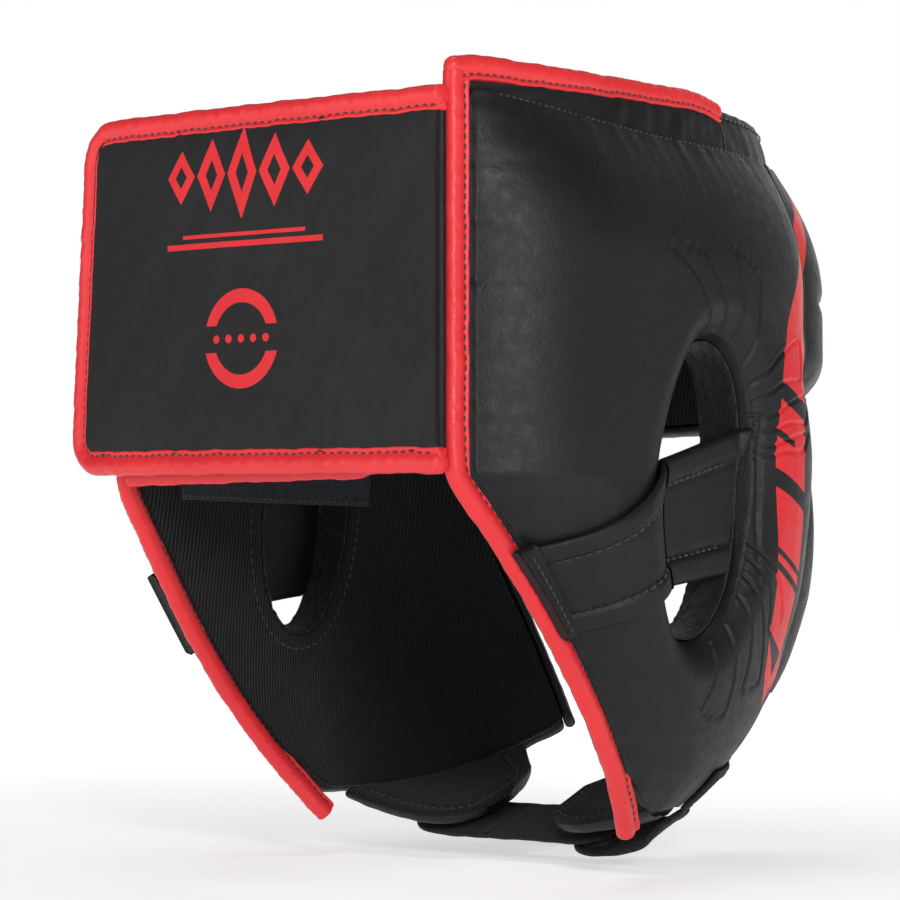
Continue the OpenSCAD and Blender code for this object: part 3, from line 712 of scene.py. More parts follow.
def binding(name, line, across, out, body, thick, seed, side=1, end_round=1.2):
    """Sweeps the folded tape along a line; across points to its rim and out is its outer face."""
    line, across, out = (mirrored(points, side) for points in (line, across, out))
    line = smoothed(line, 2)
    at, line, across, out = walk(line, 1.1, across, out)
    tangent = unit(np.gradient(line, axis=0))
    across = unit(across - (across * tangent).sum(1, keepdims=True) * tangent)
    up = np.cross(tangent, across)
    up *= np.sign((up * out).sum(1, keepdims=True))
    profile = binding_profile(thick)
    pucker = 1 + 0.05 * ripple(at, seed, 3.0, 9.0) + 0.035 * np.cos(2 * np.pi * at / 3.0)
    creep = 0.22 * ripple(at, seed + 50, 7.0, 30.0)
    rise = np.where(profile[:, 0] > -BIND_W / 2 + 2.6, pucker[:, None], 1.0)
    rings = (line[:, None] + (profile[None, :, 0, None] + creep[:, None, None]) * across[:, None]
             + (profile[None, :, 1] * rise)[..., None] * up[:, None])
    caps = []
    for k, way in ((0, -1), (-1, 1)):
        ahead = way * tangent[k] * end_round
        caps.append([line[k] + (rings[k] - line[k]) * grow + ahead * reach
                     for reach, grow in ((1, 0.3), (0.93, 0.55), (0.72, 0.8), (0.4, 0.95))])
    rings = np.concatenate([caps[0], rings, caps[1][::-1]])
    run = np.cumsum(np.concatenate([[0], np.linalg.norm(np.diff(rings[:, 0], axis=0), axis=1)]))
    flat = np.stack(np.broadcast_arrays(run[:, None], profile[None, :, 0]), -1)
    fit(tube(name, rings, flat), body, RED_LEATHER, [name])
    groove = line + across * (STITCH_AT / 8 * BIND_W - BIND_W / 2 + creep)[:, None]
    depth = 1.45 / BIND_T * thick + 0.1
    # These stitches use the dark red thread, whose darkness is painted shade of the stitch holes and groove
    for label, face in (("_stitches", 1), ("_inner_stitches", -1)):
        stitch_row(name + label, groove + up * depth * face, up * face, body, RED_STITCHES_DARKENED_AS_SHADE, thick=0.95)


def rear_binding_line(side):
    upper = np.linspace(crown_edge(REAR_ANGLE, side) - 5.5, CLOSURE_Z, 24)
    lower = np.linspace(CLOSURE_Z, TIP_Z, 60)[1:]
    z = np.concatenate([upper, lower])
    a = rear_edge(z) - degrees_for(BIND_W / 2, rear_edge(z), z)
    return a, z


def make_rear_binding(name, side):
    a, z = rear_binding_line(side)
    line = on_form(a, z, np.full(len(a), BIND_T / 2 - 0.2))
    across = form(a + 1, z) - form(a, z)
    binding(name + "_rear_binding", line, across, outward(a, z), "shell", BIND_T, 11 + side, side)


def crown_dip(a):
    return 2 * clamp01((BAND_END + 8 - a) / 8) ** 2


def make_crown_binding(name, side):
    start = REAR_ANGLE - degrees_for(3.6, REAR_ANGLE, CROWN_Z)
    a = np.linspace(start, BAND_END, 90)
    z = crown_edge(a, side) - BIND_W / 2 - crown_dip(a) - 0.8 * clamp01((a - start + 3.2) / 3.2) ** 2
    w = 1 + BAND_T / 2 + 1.0 * clamp01((a - REAR_ANGLE + 12) / 5)
    line = on_form(a, z, w)
    out = outward(a, z)
    across = np.cross(np.gradient(line, axis=0), out)
    across *= np.sign(across[:, 2:])
    binding(name + "_crown_binding", line, across, out, "shell", BIND_T - 0.6, 21 + side, side, end_round=3.4)


# ---- padded side panels ----

RING_COLS = 620
RING_ROWS = 86


def panel_outline(side, cols):
    """The panel's edge as (a, z), evenly spaced, its corners eased, from the rear top corner round."""
    top_z = pad_top(REAR_ANGLE, side)
    low_a = TIP_ANGLE - 7
    low_z = cheek_bottom(low_a)

    def inset(z):
        return rear_edge(z) - degrees_for(BIND_W + GAP - 1.6, rear_edge(z), z)

    t = np.linspace(0, 1, 90)[:-1]
    top = lerp(inset(top_z), SEAM_ANGLE + 0.3, t)
    face = lerp(TEMPLE_Z, CHEEK_Z, t)
    bottom = lerp(CHIN_ANGLE + 0.3, low_a, t)
    back = lerp(low_z, CLOSURE_Z, t)
    edge = np.concatenate([
        np.stack([top, pad_top(top, side)], -1),
        np.stack([np.full(89, SEAM_ANGLE + 0.3), lerp(pad_top(SEAM_ANGLE, side), TEMPLE_Z, t)], -1),
        np.stack([face_edge(face) + 0.3, face], -1),
        np.stack([bottom, cheek_bottom(bottom)], -1),
        np.stack([np.minimum(inset(back), lerp(low_a, 200, t)), back], -1),
        np.stack([np.full(89, inset(CLOSURE_Z)), lerp(CLOSURE_Z, top_z, t)], -1)])
    flat = edge * np.array([MM_PER_DEG, 1])
    closed = np.concatenate([flat, flat[:1]])
    _, even = walk(closed, np.linalg.norm(np.diff(closed, axis=0), axis=1).sum() / cols)
    even = smoothed(even[:cols], 6, loop=True)
    return even / np.array([MM_PER_DEG, 1])


def ring_places(side, cols, shares, grow):
    edge = panel_outline(side, cols)
    x, y = from_ear(edge[:, 0], edge[:, 1])
    inner_a, inner_z = ear_point(np.degrees(np.arctan2(y, x)), grow)
    s = shares[:, None]
    return lerp(inner_a[None], edge[None, :, 0], s), lerp(inner_z[None], edge[None, :, 1], s)


def spaced(rows):
    """Shares from 0 to 1, closer together at both ends."""
    t = np.linspace(0, 1, rows)
    return t - 0.115 * np.sin(2 * np.pi * t)


def blade(t0, reach, lean_by, wide, start=5.0):
    """One swept blade of the pressed pattern, in (angle round the ear, distance out)."""
    return [(t0, start), (t0 + lean_by * 0.45, start + reach * 0.55), (t0 + lean_by, start + reach),
            (t0 + lean_by + wide, start + reach * 0.78), (t0 + wide * 0.8 + lean_by * 0.4, start + reach * 0.4),
            (t0 + wide * 0.8, start)]


PRESSED = [blade(101, 27, -9, 12), blade(119, 25, 9, 9), blade(136, 24, 8, 8), blade(151, 21, 5, 6),
           blade(84, 33, -16, 12), blade(216, 21, 8, 9), blade(232, 25, 8, 10), blade(252, 23, 4, 11)]


def pressed_lines():
    """Segments of the pressed pattern and of the frame round the guard's front end, in flat millimetres."""
    segments = []
    for outline in PRESSED:
        t = np.array([p[0] for p in outline])
        grow = np.array([p[1] for p in outline])
        fine = np.linspace(0, len(t) - 1, 5 * len(t))
        a, z = ear_point(np.interp(fine, range(len(t)), t), np.interp(fine, range(len(t)), grow))
        line = unrolled(a, z)
        segments.append(np.stack([line[:-1], line[1:]], 1))
    frame_a, frame_z = np.array([(80.5, 25), (73.2, 24), (73.6, 0), (76.2, -30), (80.5, -33)]).T
    corners = unrolled(frame_a, frame_z)
    segments.append(np.stack([corners[:-1], corners[1:]], 1))
    return np.concatenate(segments)


def pressed_depth(a, z):
    """How far the thin pressed lines sink the cover."""
    p = unrolled(a, z)
    nearest = np.full(a.shape, 9.0)
    for start, end in pressed_lines():
        along = end - start
        t = clamp01(((p - start) @ along) / (along @ along))
        nearest = np.minimum(nearest, np.linalg.norm(p - start - t[..., None] * along, axis=-1))
    return -0.75 * ridge(nearest, 0, 0.48) + 0.1 * ridge(nearest, 1.2, 0.5)


def edge_creases(a, z, side):
    """Small folds that run in from the stitched rear and top edges."""
    to_rear = (rear_edge(z) - a) * radius(a, z) * np.pi / 180 - BIND_W
    to_top = pad_top(a, side) - z
    rear = 0.32 * ripple(z, 5, 6.0, 17.0) * np.exp(-np.maximum(to_rear, 0) / 7)
    top = 0.28 * ripple(a * MM_PER_DEG, 6, 6.0, 15.0) * np.exp(-np.maximum(to_top, 0) / 6)
    low = 0.35 * ripple(a * MM_PER_DEG, 7, 8.0, 23.0) * np.exp(-np.maximum(z - cheek_bottom(a), 0) / 9)
    return rear + top + low


def make_side_panel(name, side):
    a, z = ring_places(side, RING_COLS, spaced(RING_ROWS), EAR_WALL_T + GAP)
    deep = thickness(a, z, side)
    from_hole = ear_distance(a, z) - EAR_WALL_T
    roll = 5.0
    drop = roll * rounding(from_hole, roll) * 0.8
    piping = 0.9 * ridge(from_hole, 2.2, 0.9) * clamp01((EAR_ANGLE + 4 - a) / 8)
    w = deep - drop + piping + pressed_depth(a, z) + edge_creases(a, z, side)
    outer = on_form(a, z, w)
    rows = np.linspace(RING_ROWS - 1, 0, 30).astype(int)
    inner = on_form(a[rows], z[rows], np.full((30, RING_COLS), LINING_T + 0.3))
    loop = np.concatenate([outer, inner])
    flat = unrolled(a, z)
    uv = np.concatenate([flat, flat[rows]])
    faces = grid_faces(len(loop), RING_COLS, True, True)
    panel = make_mesh(name + "_side_panel", mirrored(loop, side).reshape(-1, 3), faces, uv.reshape(-1, 2))
    fit(panel, "shell", PANEL_LEATHER, [name + "_side_cover", name + "_side_foam"])

    seam_a = np.linspace(REAR_ANGLE - 7, SEAM_ANGLE + 2, 200)
    seam_row(name + "_top_seam_stitches", seam_a, pad_top(seam_a, side) - 0.2, EDGE_T + 0.1, side,
             BLACK_STITCHES, pitch=2.6, length=1.7, thick=0.6)

    a, z = ring_places(side, 420, np.linspace(0, 1, 46), EAR_WALL_T + GAP)
    puff = 0.5 * shoulder(ear_distance(a, z) - EAR_WALL_T, 9) + 0.25 * ripple(a * MM_PER_DEG + z, 31, 13, 41)
    lining = shell(name + "_side_lining", on_form(a, z, LINING_T), on_form(a, z, -puff * 0.6), unrolled(a, z),
                   side, ring=True)
    fit(lining, "shell", RIB_MESH, [name + "_side_lining"])
    seam_row(name + "_ear_lining_stitches", *ear_point(np.linspace(0, 360, 200), 7.5), -0.35, side,
             LINING_STITCHES, face=-1, pitch=3.4, thick=0.45)


def make_ear_wall(name, side):
    """Fleece round the ear opening: a soft roll, thickest at mid depth, with an uneven pile."""
    n, rows = 260, 26
    t = np.linspace(0, 360, n + 1)[:-1]
    base_a, base_z = ear_point(t, EAR_WALL_T)
    full = thickness(base_a, base_z, side) - 1.2
    share = np.linspace(0, 1, rows)[:, None]
    pile = (ripple(t[None] * 0.9 + share * 31, 41, 2.2, 9.0) * 0.35
            + ripple(t[None] * 0.5 - share * 57, 42, 2.5, 7) * 0.3)
    bulge = EAR_WALL_T * (0.25 + 0.95 * np.sqrt(np.maximum(0, 1 - (2 * share - 1) ** 2))) + pile
    roll = ear_point(t[None], EAR_WALL_T - np.maximum(bulge, 0.2))
    inner = on_form(roll[0], roll[1], full[None] * share - 0.2 + 1.2 * (share > 0.5) * np.sin(np.pi * share))
    back = on_form(np.broadcast_to(base_a, (rows, n)), np.broadcast_to(base_z, (rows, n)), full[None] * share)
    wall = shell(name + "_ear_fleece", inner, back, side=side, ring=True)
    fit(wall, "shell", FLEECE, [name + "_ear_wall"])


# ---- forehead and crown ----


def channel_z(a):
    """The height of the channel sewn across the forehead."""
    return lerp(62, 68, clamp01(np.abs(a) / 51) ** 2)


def make_forehead():
    rows, cols = 90, 200
    a = np.linspace(-SEAM_ANGLE + 0.3, SEAM_ANGLE - 0.3, cols)[None]
    share = spaced(rows)[:, None]
    z = lerp(brow(a), pad_top(a, -1), share)
    a = np.broadcast_to(a, z.shape)
    low_fold = 0.3 * ripple(a * MM_PER_DEG, 8, 6.0, 17.0) * np.exp(-(z - brow(a)) / 7)
    top_fold = 0.28 * ripple(a * MM_PER_DEG, 9, 6.0, 15.0) * np.exp(-(pad_top(a, -1) - z) / 6)
    channel = -1.6 * ridge(z, channel_z(a), 2.2) * clamp01((46 - np.abs(a)) / 5)
    w = thickness(a, z, -1) + low_fold + top_fold + channel
    outer = on_form(a, z, w)
    inner = on_form(a, z, LINING_T + 0.3)
    fit(shell("forehead_panel", outer, inner, unrolled(a, z)), "shell", PANEL_LEATHER,
        ["forehead_cover", "forehead_foam"])
    line_a = np.linspace(-44, 44, 160)
    line_z = channel_z(line_a)
    seam_row("forehead_channel_stitches", line_a, line_z, thickness(line_a, line_z, -1) - 1.45, 1,
             BLACK_STITCHES, pitch=3.4)
    back = on_form(a, z, 0.0 - 0.3 * shoulder(z - brow(a), 9) * shoulder(pad_top(a, -1) - z, 9))
    front = on_form(a, z, LINING_T)
    fit(shell("forehead_lining", front, back, unrolled(a, z)), "shell", RIB_MESH,
        ["forehead_lining"])


def crown_strip(name, a0, a1, side, low, high, seed, cols=150):
    """Unpadded cloth above the padding, drawn up by its seams into small puckers."""
    rows = 16
    a = np.linspace(a0, a1, cols)[None]
    share = np.linspace(0, 1, rows)[:, None]
    z = lerp(low(a), high(a), share)
    a = np.broadcast_to(a, z.shape)
    run = a * MM_PER_DEG
    pucker = (0.3 * ripple(run + 9 * share, seed, 11.0, 34.0) * np.sin(np.pi * share)
              + 0.12 * ripple(run + 3 * share, seed + 1, 6.0, 13.0))
    outer = on_form(a, z, 1 + BAND_T + pucker)
    inner = on_form(a, z, 1 + 0.4 * pucker)
    strip = shell(name, outer, inner, unrolled(a, z), side)
    fit(strip, "shell", PLAIN_LEATHER, [name])


def make_crown(name, side):
    crown_strip(name + "_crown_band", BAND_END, REAR_ANGLE - degrees_for(BIND_W - 1, REAR_ANGLE, SEAM_Z), side,
                lambda a: pad_top(a, side) - 0.5, lambda a: crown_edge(a, side) - BIND_W + 1, 61 + side)


def make_crown_margin():
    reach = BAND_END - 0.3

    def top(a):
        return crown_edge(a, -1) - 5 - 2 * (1 - np.abs(a) / 90)

    crown_strip("forehead_crown_margin", -reach, reach, 1, lambda a: pad_top(a, -1) - 0.5, top, 71, 260)
    a = np.linspace(-reach, reach, 240)
    seam_row("crown_margin_stitches", a, top(a) - 2.2, 1 + BAND_T + 0.35, 1, BLACK_STITCHES, pitch=3.4)


def make_face_welt():
    """The turned edge round the face opening: a soft rolled cord of leather."""
    z = np.linspace(CHEEK_Z + 1, TEMPLE_Z - 1, 90)
    a = np.linspace(SEAM_ANGLE - 3, -SEAM_ANGLE + 3, 90)[1:-1]
    route_a = np.concatenate([face_edge(z) - 1.2, a, -(face_edge(z) - 1.2)[::-1]])
    route_z = np.concatenate([z, brow(a) - 1.9, z[::-1]])
    mean_side = thickness(np.abs(route_a) + 1.2, route_z, -1)
    line = smoothed(on_form(route_a, route_z, mean_side / 2), 4)
    out = outward(route_a, route_z)
    deep = mean_side / 2 + 0.3
    at, line, out, deep = walk(line, 1.6, out, deep[:, None])
    tangent = unit(np.gradient(line, axis=0))
    out = unit(out - (out * tangent).sum(1, keepdims=True) * tangent)
    wide = np.cross(tangent, out)
    turn = np.linspace(0, 360, 19)[:-1]
    round_out = np.sign(sind(turn)) * np.abs(sind(turn)) ** 0.8
    swell = 1 + 0.05 * ripple(at, 81, 5, 15)
    rings = (line[:, None] + (round_out[None] * deep)[..., None] * out[:, None]
             + (cosd(turn)[None] * 2.0 * swell[:, None])[..., None] * wide[:, None])
    fit(tube("face_opening_welt", rings), "shell", PLAIN_LEATHER, ["face_opening_welt"])


# ---- ear straps and guards ----

STRAP_JOIN = 0.5
STRAP_LOW = (-46, -32, -27)
STRAP_HIGH = (-21, 7, 20)
LEFT_STRAP_DROP = 6


def strap_edge(heights, front_angle, bend, t, side):
    z = [h - (LEFT_STRAP_DROP if side > 0 else 0) for h in heights]
    rear, mid, fore = np.array([(rear_edge(z[0]) - 1.8, z[0]), (110, z[1]), (front_angle, z[2])])
    t = np.asarray(t, float)[..., None]
    curve = lerp(rear, mid, t / STRAP_JOIN) + bend * np.sin(np.pi * clamp01(t / STRAP_JOIN)) * np.array([0, 1])
    return np.where(t < STRAP_JOIN, curve, lerp(mid, fore, (t - STRAP_JOIN) / (1 - STRAP_JOIN)))


def strap_place(t, v, side):
    p = lerp(strap_edge(STRAP_LOW, 82.5, -1.5, t, side), strap_edge(STRAP_HIGH, 76, -3, t, side),
             np.asarray(v, float)[..., None])
    return p[..., 0], p[..., 1]


def strap_layer(name, t0, t1, v0, v1, thick, side, border, seed, cols=70, rows=44):
    """A flat strip of the strap, its long edges folded over into raised borders."""
    t = np.linspace(t0, t1, cols)[None]
    v = np.linspace(v0, v1, rows)[:, None]
    a, z = strap_place(np.broadcast_to(t, (rows, cols)), np.broadcast_to(v, (rows, cols)), side)
    edge = np.minimum(v - v0, v1 - v) * 30
    arch = 0.55 + 0.45 * np.sqrt(np.maximum(0, 1 - ((edge - 3.2) / 3.4) ** 2))
    fold = border * clamp01((6.2 - edge) / 0.8) * arch
    groove = -0.35 * ridge(edge, 6.6, 0.7) * (border > 0)
    soft = 0.2 * ripple(t * 60 + 3 * v, seed, 6, 19)
    rim = thick / 2 * rounding(edge, 1.3)
    base = thickness(a, z, side) + 0.8
    outer = on_form(a, z, base + thick + fold + groove + soft - rim)
    inner = on_form(a, z, base + rim * 0.8)
    flat = np.stack(np.broadcast_arrays(t * 60, v * 30), -1)
    fit(shell(name, outer, inner, flat, side), "shell", PLAIN_LEATHER, [name])


def make_ear_strap(name, side):
    strap_layer(name + "_ear_strap", 0.03, STRAP_JOIN, 0, 1, 1.8, side, 0.9, 91)
    strap_layer(name + "_ear_guard", STRAP_JOIN - 0.004, 1.0, 0, 1, 2.8, side, 1.1, 92)
    strap_layer(name + "_strap_end", -0.01, 0.045, -0.03, 1.03, 3.6, side, 0, 93, cols=12, rows=40)
    for label, v in (("upper", 0.79), ("lower", 0.21)):
        for part, t0, t1, lift in (("strap", 0.06, 0.49, 3.1), ("guard", 0.52, 0.94, 4.1)):
            t = np.linspace(t0, t1, 60)
            a, z = strap_place(t, np.full(60, v), side)
            seam_row(f"{name}_{part}_{label}_stitches", a, z, thickness(a, z, side) + lift, side,
                     BLACK_STITCHES, pitch=3.2)
    v = np.linspace(0.04, 0.96, 40)
    a, z = strap_place(np.full(40, 0.018), v, side)
    seam_row(name + "_strap_end_stitches", a, z, thickness(a, z, side) + 4.35, side, BLACK_STITCHES,
             pitch=2.6)


# ---- chin pads and chin closure ----

CHIN_GAP = 14
CHIN_END_REAR = np.array([CHIN_GAP, -8, -109.0])
CHIN_END_FRONT = np.array([CHIN_GAP, -46, -94.0])
CHIN_SAG = 1.5
CHIN_PAD_T = 7
STRAP_V = 0.42
CHIN_STRAP_W = 26
CHIN_STRAP_T = 1.6
PATCH_T = 0.8
HOOK_START = 0.16
HOOK_TURN_DROP = 4
HOOK_END_X = 19
LOOP_START = 0.45
ANCHOR_START = 0.16
PATCH_GAP = 0.2
LOOP_DROP = GAP + 0.5
HOOK_DROP = LOOP_DROP + CHIN_STRAP_T + 2 * (PATCH_T + PATCH_GAP) + GAP


def chin_root(v):
    a = lerp(86, 27, v)
    return on_form(a, cheek_bottom(a) - 2 * GAP, np.zeros(np.shape(a)))


def chin_face(s, v):
    s, v = np.broadcast_arrays(np.asarray(s, float), np.asarray(v, float))
    narrow = np.sqrt(1 - 0.93 * clamp01((s - 0.55) / 0.45) ** 2)
    q = 0.5 + (v - 0.5) * narrow
    end = lerp(CHIN_END_REAR, CHIN_END_FRONT, q[..., None])
    return lerp(chin_root(q), end, s[..., None]) - CHIN_SAG * np.sin(np.pi * s)[..., None] * np.array([0, 0, 1])


def chin_out(s, v):
    return unit(np.cross(chin_face(s, v + 0.02) - chin_face(s, v - 0.02),
                         chin_face(s + 0.02, v) - chin_face(s - 0.02, v)))


def chin_depth(s, v):
    crown = np.sqrt(np.maximum(0, 1 - (2 * v - 1) ** 2))
    return 3.4 + (CHIN_PAD_T - 3.4) * crown * shoulder(1.05 - s, 0.3) * shoulder(s + 0.12, 0.4)


def make_chin_pad(name, side):
    rows, cols = 60, 70
    s = np.linspace(0, 0.985, cols)[None]
    v = (0.5 - 0.5 * cosd(np.linspace(0, 180, rows)))[:, None]
    s, v = np.broadcast_arrays(s, v)
    out = chin_out(s, v)
    edge = np.minimum(np.minimum(v, 1 - v) * 42, (0.985 - s) * 50)
    rim = rounding(edge, 2.2)
    deep = chin_depth(s, v)
    groove = ridge(edge, 4.2, 0.9)
    under = deep - deep / 2 * rim - 0.5 * groove + 0.15 * ripple(s * 50 + v * 40, 101, 7, 21)
    over = deep / 2 * rim + 0.45 * groove - 1.1 * shoulder(edge - 4.5, 9)
    face = chin_face(s, v)
    flat = np.stack([s * 50, v * 42], -1)
    split = (deep * 0.45)[..., None] * out
    pad = shell(name + "_chin_pad", face + split, face + out * under[..., None], flat, side)
    fit(pad, "shell", PLAIN_LEATHER, [name + "_chin_cover", name + "_chin_foam"])
    top = shell(name + "_chin_lining", face + out * over[..., None], face + split, flat, side)
    fit(top, "shell", RIB_MESH, [name + "_chin_lining"])
    run_s = np.concatenate([np.linspace(0.06, 0.88, 40), np.full(30, 0.9), np.linspace(0.88, 0.06, 40)])
    run_v = np.concatenate([np.full(40, 0.1), np.linspace(0.1, 0.9, 30), np.full(40, 0.9)])
    line = smoothed(chin_face(run_s, run_v), 6)
    up = -chin_out(run_s, run_v)
    stitch_row(name + "_chin_pad_stitches", mirrored(line + up * -0.1, side), mirrored(up, side), "shell",
               LINING_STITCHES, pitch=3.2, thick=0.45)


def chin_under(s, d):
    s = np.asarray(s, float)
    return chin_face(s, STRAP_V) + (chin_depth(s, STRAP_V) + d)[..., None] * chin_out(s, STRAP_V)


def under_route(s, x, d, points=30):
    """The straps' shared line: along the right pad's underside, then level to x; drawn for the left."""
    first = chin_under(np.linspace(s, 0.8, points), d)
    off = first[-1]
    level = np.stack([np.linspace(off[0], x, points), np.full(points, off[1]), np.full(points, off[2])], -1)
    return smoothed(np.concatenate([first, level[1:]]), 6)


def cheek_turn(drop, out):
    a = lerp(86, 27, STRAP_V)
    return on_form(a, cheek_bottom(a) - drop, EDGE_T + out)[None]


CHIN_ACROSS = unit(CHIN_END_FRONT - CHIN_END_REAR)


def flat_strap(name, line, thick, wide, body, look, side, seed, round_start=False, round_end=False,
               edge_line=0.0):
    """Webbing along a line, with rounded ends where asked and a bound edge."""
    at, line = walk(line, 0.8)
    tangent = unit(np.gradient(line, axis=0))
    across = unit(CHIN_ACROSS - (tangent @ CHIN_ACROSS)[:, None] * tangent)
    up = np.cross(tangent, across)
    up *= np.sign(up[:, 2:])
    half = np.full(len(at), wide / 2)
    r = wide / 2
    for here, distance in ((round_start, at), (round_end, at[-1] - at)):
        if here:
            arc = np.sqrt(np.maximum(0.004, 1 - (1 - distance / r) ** 2)) * wide / 2
            half = np.where(distance < r, arc, half)
    v = np.array([-1, -0.985, -0.95, -0.88, -0.8, -0.6, -0.3, 0, 0.3, 0.6, 0.8, 0.88, 0.95, 0.985, 1])
    bead = edge_line * ridge(np.abs(v), 0.9, 0.06)
    lift = thick / 2 * np.array([0.2, 0.75, 1, *[1] * 9, 1, 0.75, 0.2])
    profile = np.concatenate([np.stack([v, lift + bead], -1), np.stack([v[::-1], -lift - bead], -1)])
    wave = 0.15 * ripple(at, seed, 9, 31)
    rings = (line[:, None] + (profile[None, :, 0] * half[:, None])[..., None] * across[:, None]
             + (profile[None, :, 1] + wave[:, None])[..., None] * up[:, None])
    flat = np.stack(np.broadcast_arrays(at[:, None], profile[None, :, 0] * wide / 2), -1)
    fit(tube(name, mirrored(rings, side), flat), body, look, [name])


def make_chin_closure():
    _, run = walk(np.concatenate([cheek_turn(1.5, 1.6), cheek_turn(HOOK_TURN_DROP, GAP),
                                  under_route(HOOK_START, HOOK_END_X, HOOK_DROP + CHIN_STRAP_T / 2)]), 2.0)
    flat_strap("hook_strap", smoothed(run, 3), CHIN_STRAP_T, CHIN_STRAP_W, "hook_strap", WEBBING, -1, 111,
               round_end=True, edge_line=0.35)
    under = HOOK_DROP - PATCH_T / 2 - PATCH_GAP
    flat_strap("hook_strap_patch", under_route(LOOP_START + 0.05, HOOK_END_X + 4, under), PATCH_T,
               CHIN_STRAP_W - 6, "hook_strap", HOOK_TAPE, -1, 111, round_end=True)
    middle = LOOP_DROP + CHIN_STRAP_T / 2
    flat_strap("loop_strap", under_route(LOOP_START, 3 - CHIN_GAP, middle), CHIN_STRAP_T, CHIN_STRAP_W, "shell",
               WEBBING, -1, 112, round_start=True, edge_line=0.25)
    under = LOOP_DROP + CHIN_STRAP_T + PATCH_T / 2 + PATCH_GAP
    flat_strap("loop_strap_patch", under_route(LOOP_START + 0.05, 8 - CHIN_GAP, under), PATCH_T,
               CHIN_STRAP_W - 5, "shell", LOOP_TAPE, -1, 112, round_start=True)
    flat_strap("left_chin_anchor", under_route(ANCHOR_START, CHIN_GAP - 3 + GAP, middle), CHIN_STRAP_T,
               CHIN_STRAP_W, "shell", WEBBING, 1, 113, round_start=True, edge_line=0.3)
    t = np.linspace(0, 1, 40)[None]
    v = np.linspace(0, 1, 24)[:, None]
    a = np.broadcast_to(lerp(72, 46, v), (24, 40))
    z = cheek_bottom(a) + lerp(13, -0.5, t)
    edge = np.minimum(np.minimum(v, 1 - v) * 26, t * 14)
    rim = 0.8 * rounding(edge, 1.5)
    base = thickness(a, z, -1)
    outer = on_form(a, z, base + 2.2 - rim + 0.3 * ridge(edge, 2.4, 0.6))
    inner = on_form(a, z, base + 0.2 + rim)
    flat = np.stack(np.broadcast_arrays(t * 14, v * 26), -1)
    patch = shell("right_chin_anchor", outer, inner, flat, -1)
    fit(patch, "shell", WEBBING, ["right_chin_anchor"])


# ---- rear closure ----

FLAP_START = np.array([-REAR_HALF_W - 2.4, REAR_DEPTH + 2.8])
FLAP_H = 115
FLAP_L = 154
FLAP_T = 6.4
FLAP_RISE = 1.2
FLAP_CORNER = 14
FLAP_SLANT = 9
ROOT_TUCK = 2.2
LEAF_INSET = BIND_W - 1.2


def closure_line(x):
    bulge = 4.5 * sind(90 * clamp01(x / 100)) - 5 * clamp01((x - 118) / 40) ** 2
    return np.stack(np.broadcast_arrays(FLAP_START[0] + x, FLAP_START[1] + bulge, 0 * x), -1)


def closure_out(x):
    d = closure_line(x + 1) - closure_line(x - 1)
    return unit(np.stack([-d[..., 1], d[..., 0], 0 * d[..., 0]], -1))


def flap_at(x, z, w):
    x, z = np.broadcast_arrays(np.asarray(x, float), np.asarray(z, float))
    at = x - FLAP_SLANT * (x / FLAP_L) ** 4 * (z - CLOSURE_Z) / FLAP_H
    rise = np.stack([0 * x, 0 * x, z + x * sind(FLAP_RISE)], -1)
    return closure_line(at) + rise + np.asarray(w, float)[..., None] * closure_out(at)


def corner_cut(x, length, corner, inset):
    r = corner - inset
    over = np.clip(x - (length - inset - r), 0, r)
    return r - np.sqrt(r * r - over * over)


def sewn_leaf(name, at, length, height, corner, inset, start_z, w_out, w_in, crown, seed, look, body, replaces,
              cols=150, rows=100):
    """A rectangular leaf with a rounded free end, its face softly crowned between its bound edges."""
    r = corner - inset
    x = np.concatenate([np.linspace(-ROOT_TUCK, length - inset - r, cols - 26)[:-1],
                        length - inset - r + (r - 0.02) * sind(np.linspace(0, 90, 27))])[None]
    share = np.linspace(0, 1, rows)[:, None]
    cut = corner_cut(x, length, corner, inset)
    z = lerp(start_z + inset + cut, start_z + height - inset - cut, share)
    x = np.broadcast_to(x, z.shape)
    edge = np.minimum(np.minimum(z - start_z - inset, start_z + height - inset - z), length - inset - x)
    puff = crown * shoulder(edge, 14) + 0.22 * ripple(x + 0.7 * z, seed, 17, 61) * shoulder(edge, 9)
    fold = 0.25 * ripple(x, seed + 1, 5, 12) * np.exp(-np.maximum(edge, 0) / 4)
    root = np.sqrt(1 - (np.minimum(x, 0) / (ROOT_TUCK + 0.8)) ** 2)
    outer = at(x, z, (w_out + puff + fold) * root)
    inner = at(x, z, w_in * root)
    leaf = shell(name, outer, inner, np.stack([x, z - start_z], -1))
    fit(leaf, body, look, replaces)


def leaf_binding(name, at, out_of, length, height, corner, start_z, thick, body, seed):
    """The binding along the leaf's lower edge, round its free end and back along its upper edge."""
    h = BIND_W / 2
    r = corner - h
    far = length - h - r
    low, high = start_z + h, start_z + height - h
    turn = np.linspace(0, 90, 14)
    out_x, turn_out, turn_up = np.linspace(0.4 - ROOT_TUCK, far, 60), sind(turn[1:]), cosd(turn[1:])
    x = np.concatenate([out_x, far + r * turn_out, np.full(40, far + r), far + r * turn_up,
                        np.linspace(far, 0.4 - ROOT_TUCK, 60)[1:]])
    z = np.concatenate([np.full(60, high), high - r * (1 - turn_up), np.linspace(high - r, low + r, 42)[1:-1],
                        low + r * (1 - turn_out), np.full(59, low)])
    centre_x, centre_z = np.minimum(x, far - 1), np.clip(z, low + r + 1, high - r - 1)
    line = at(x, z, np.zeros(len(x)))
    across = line - at(centre_x, centre_z, np.zeros(len(x)))
    binding(name, line, across, out_of(x), body, thick, seed)


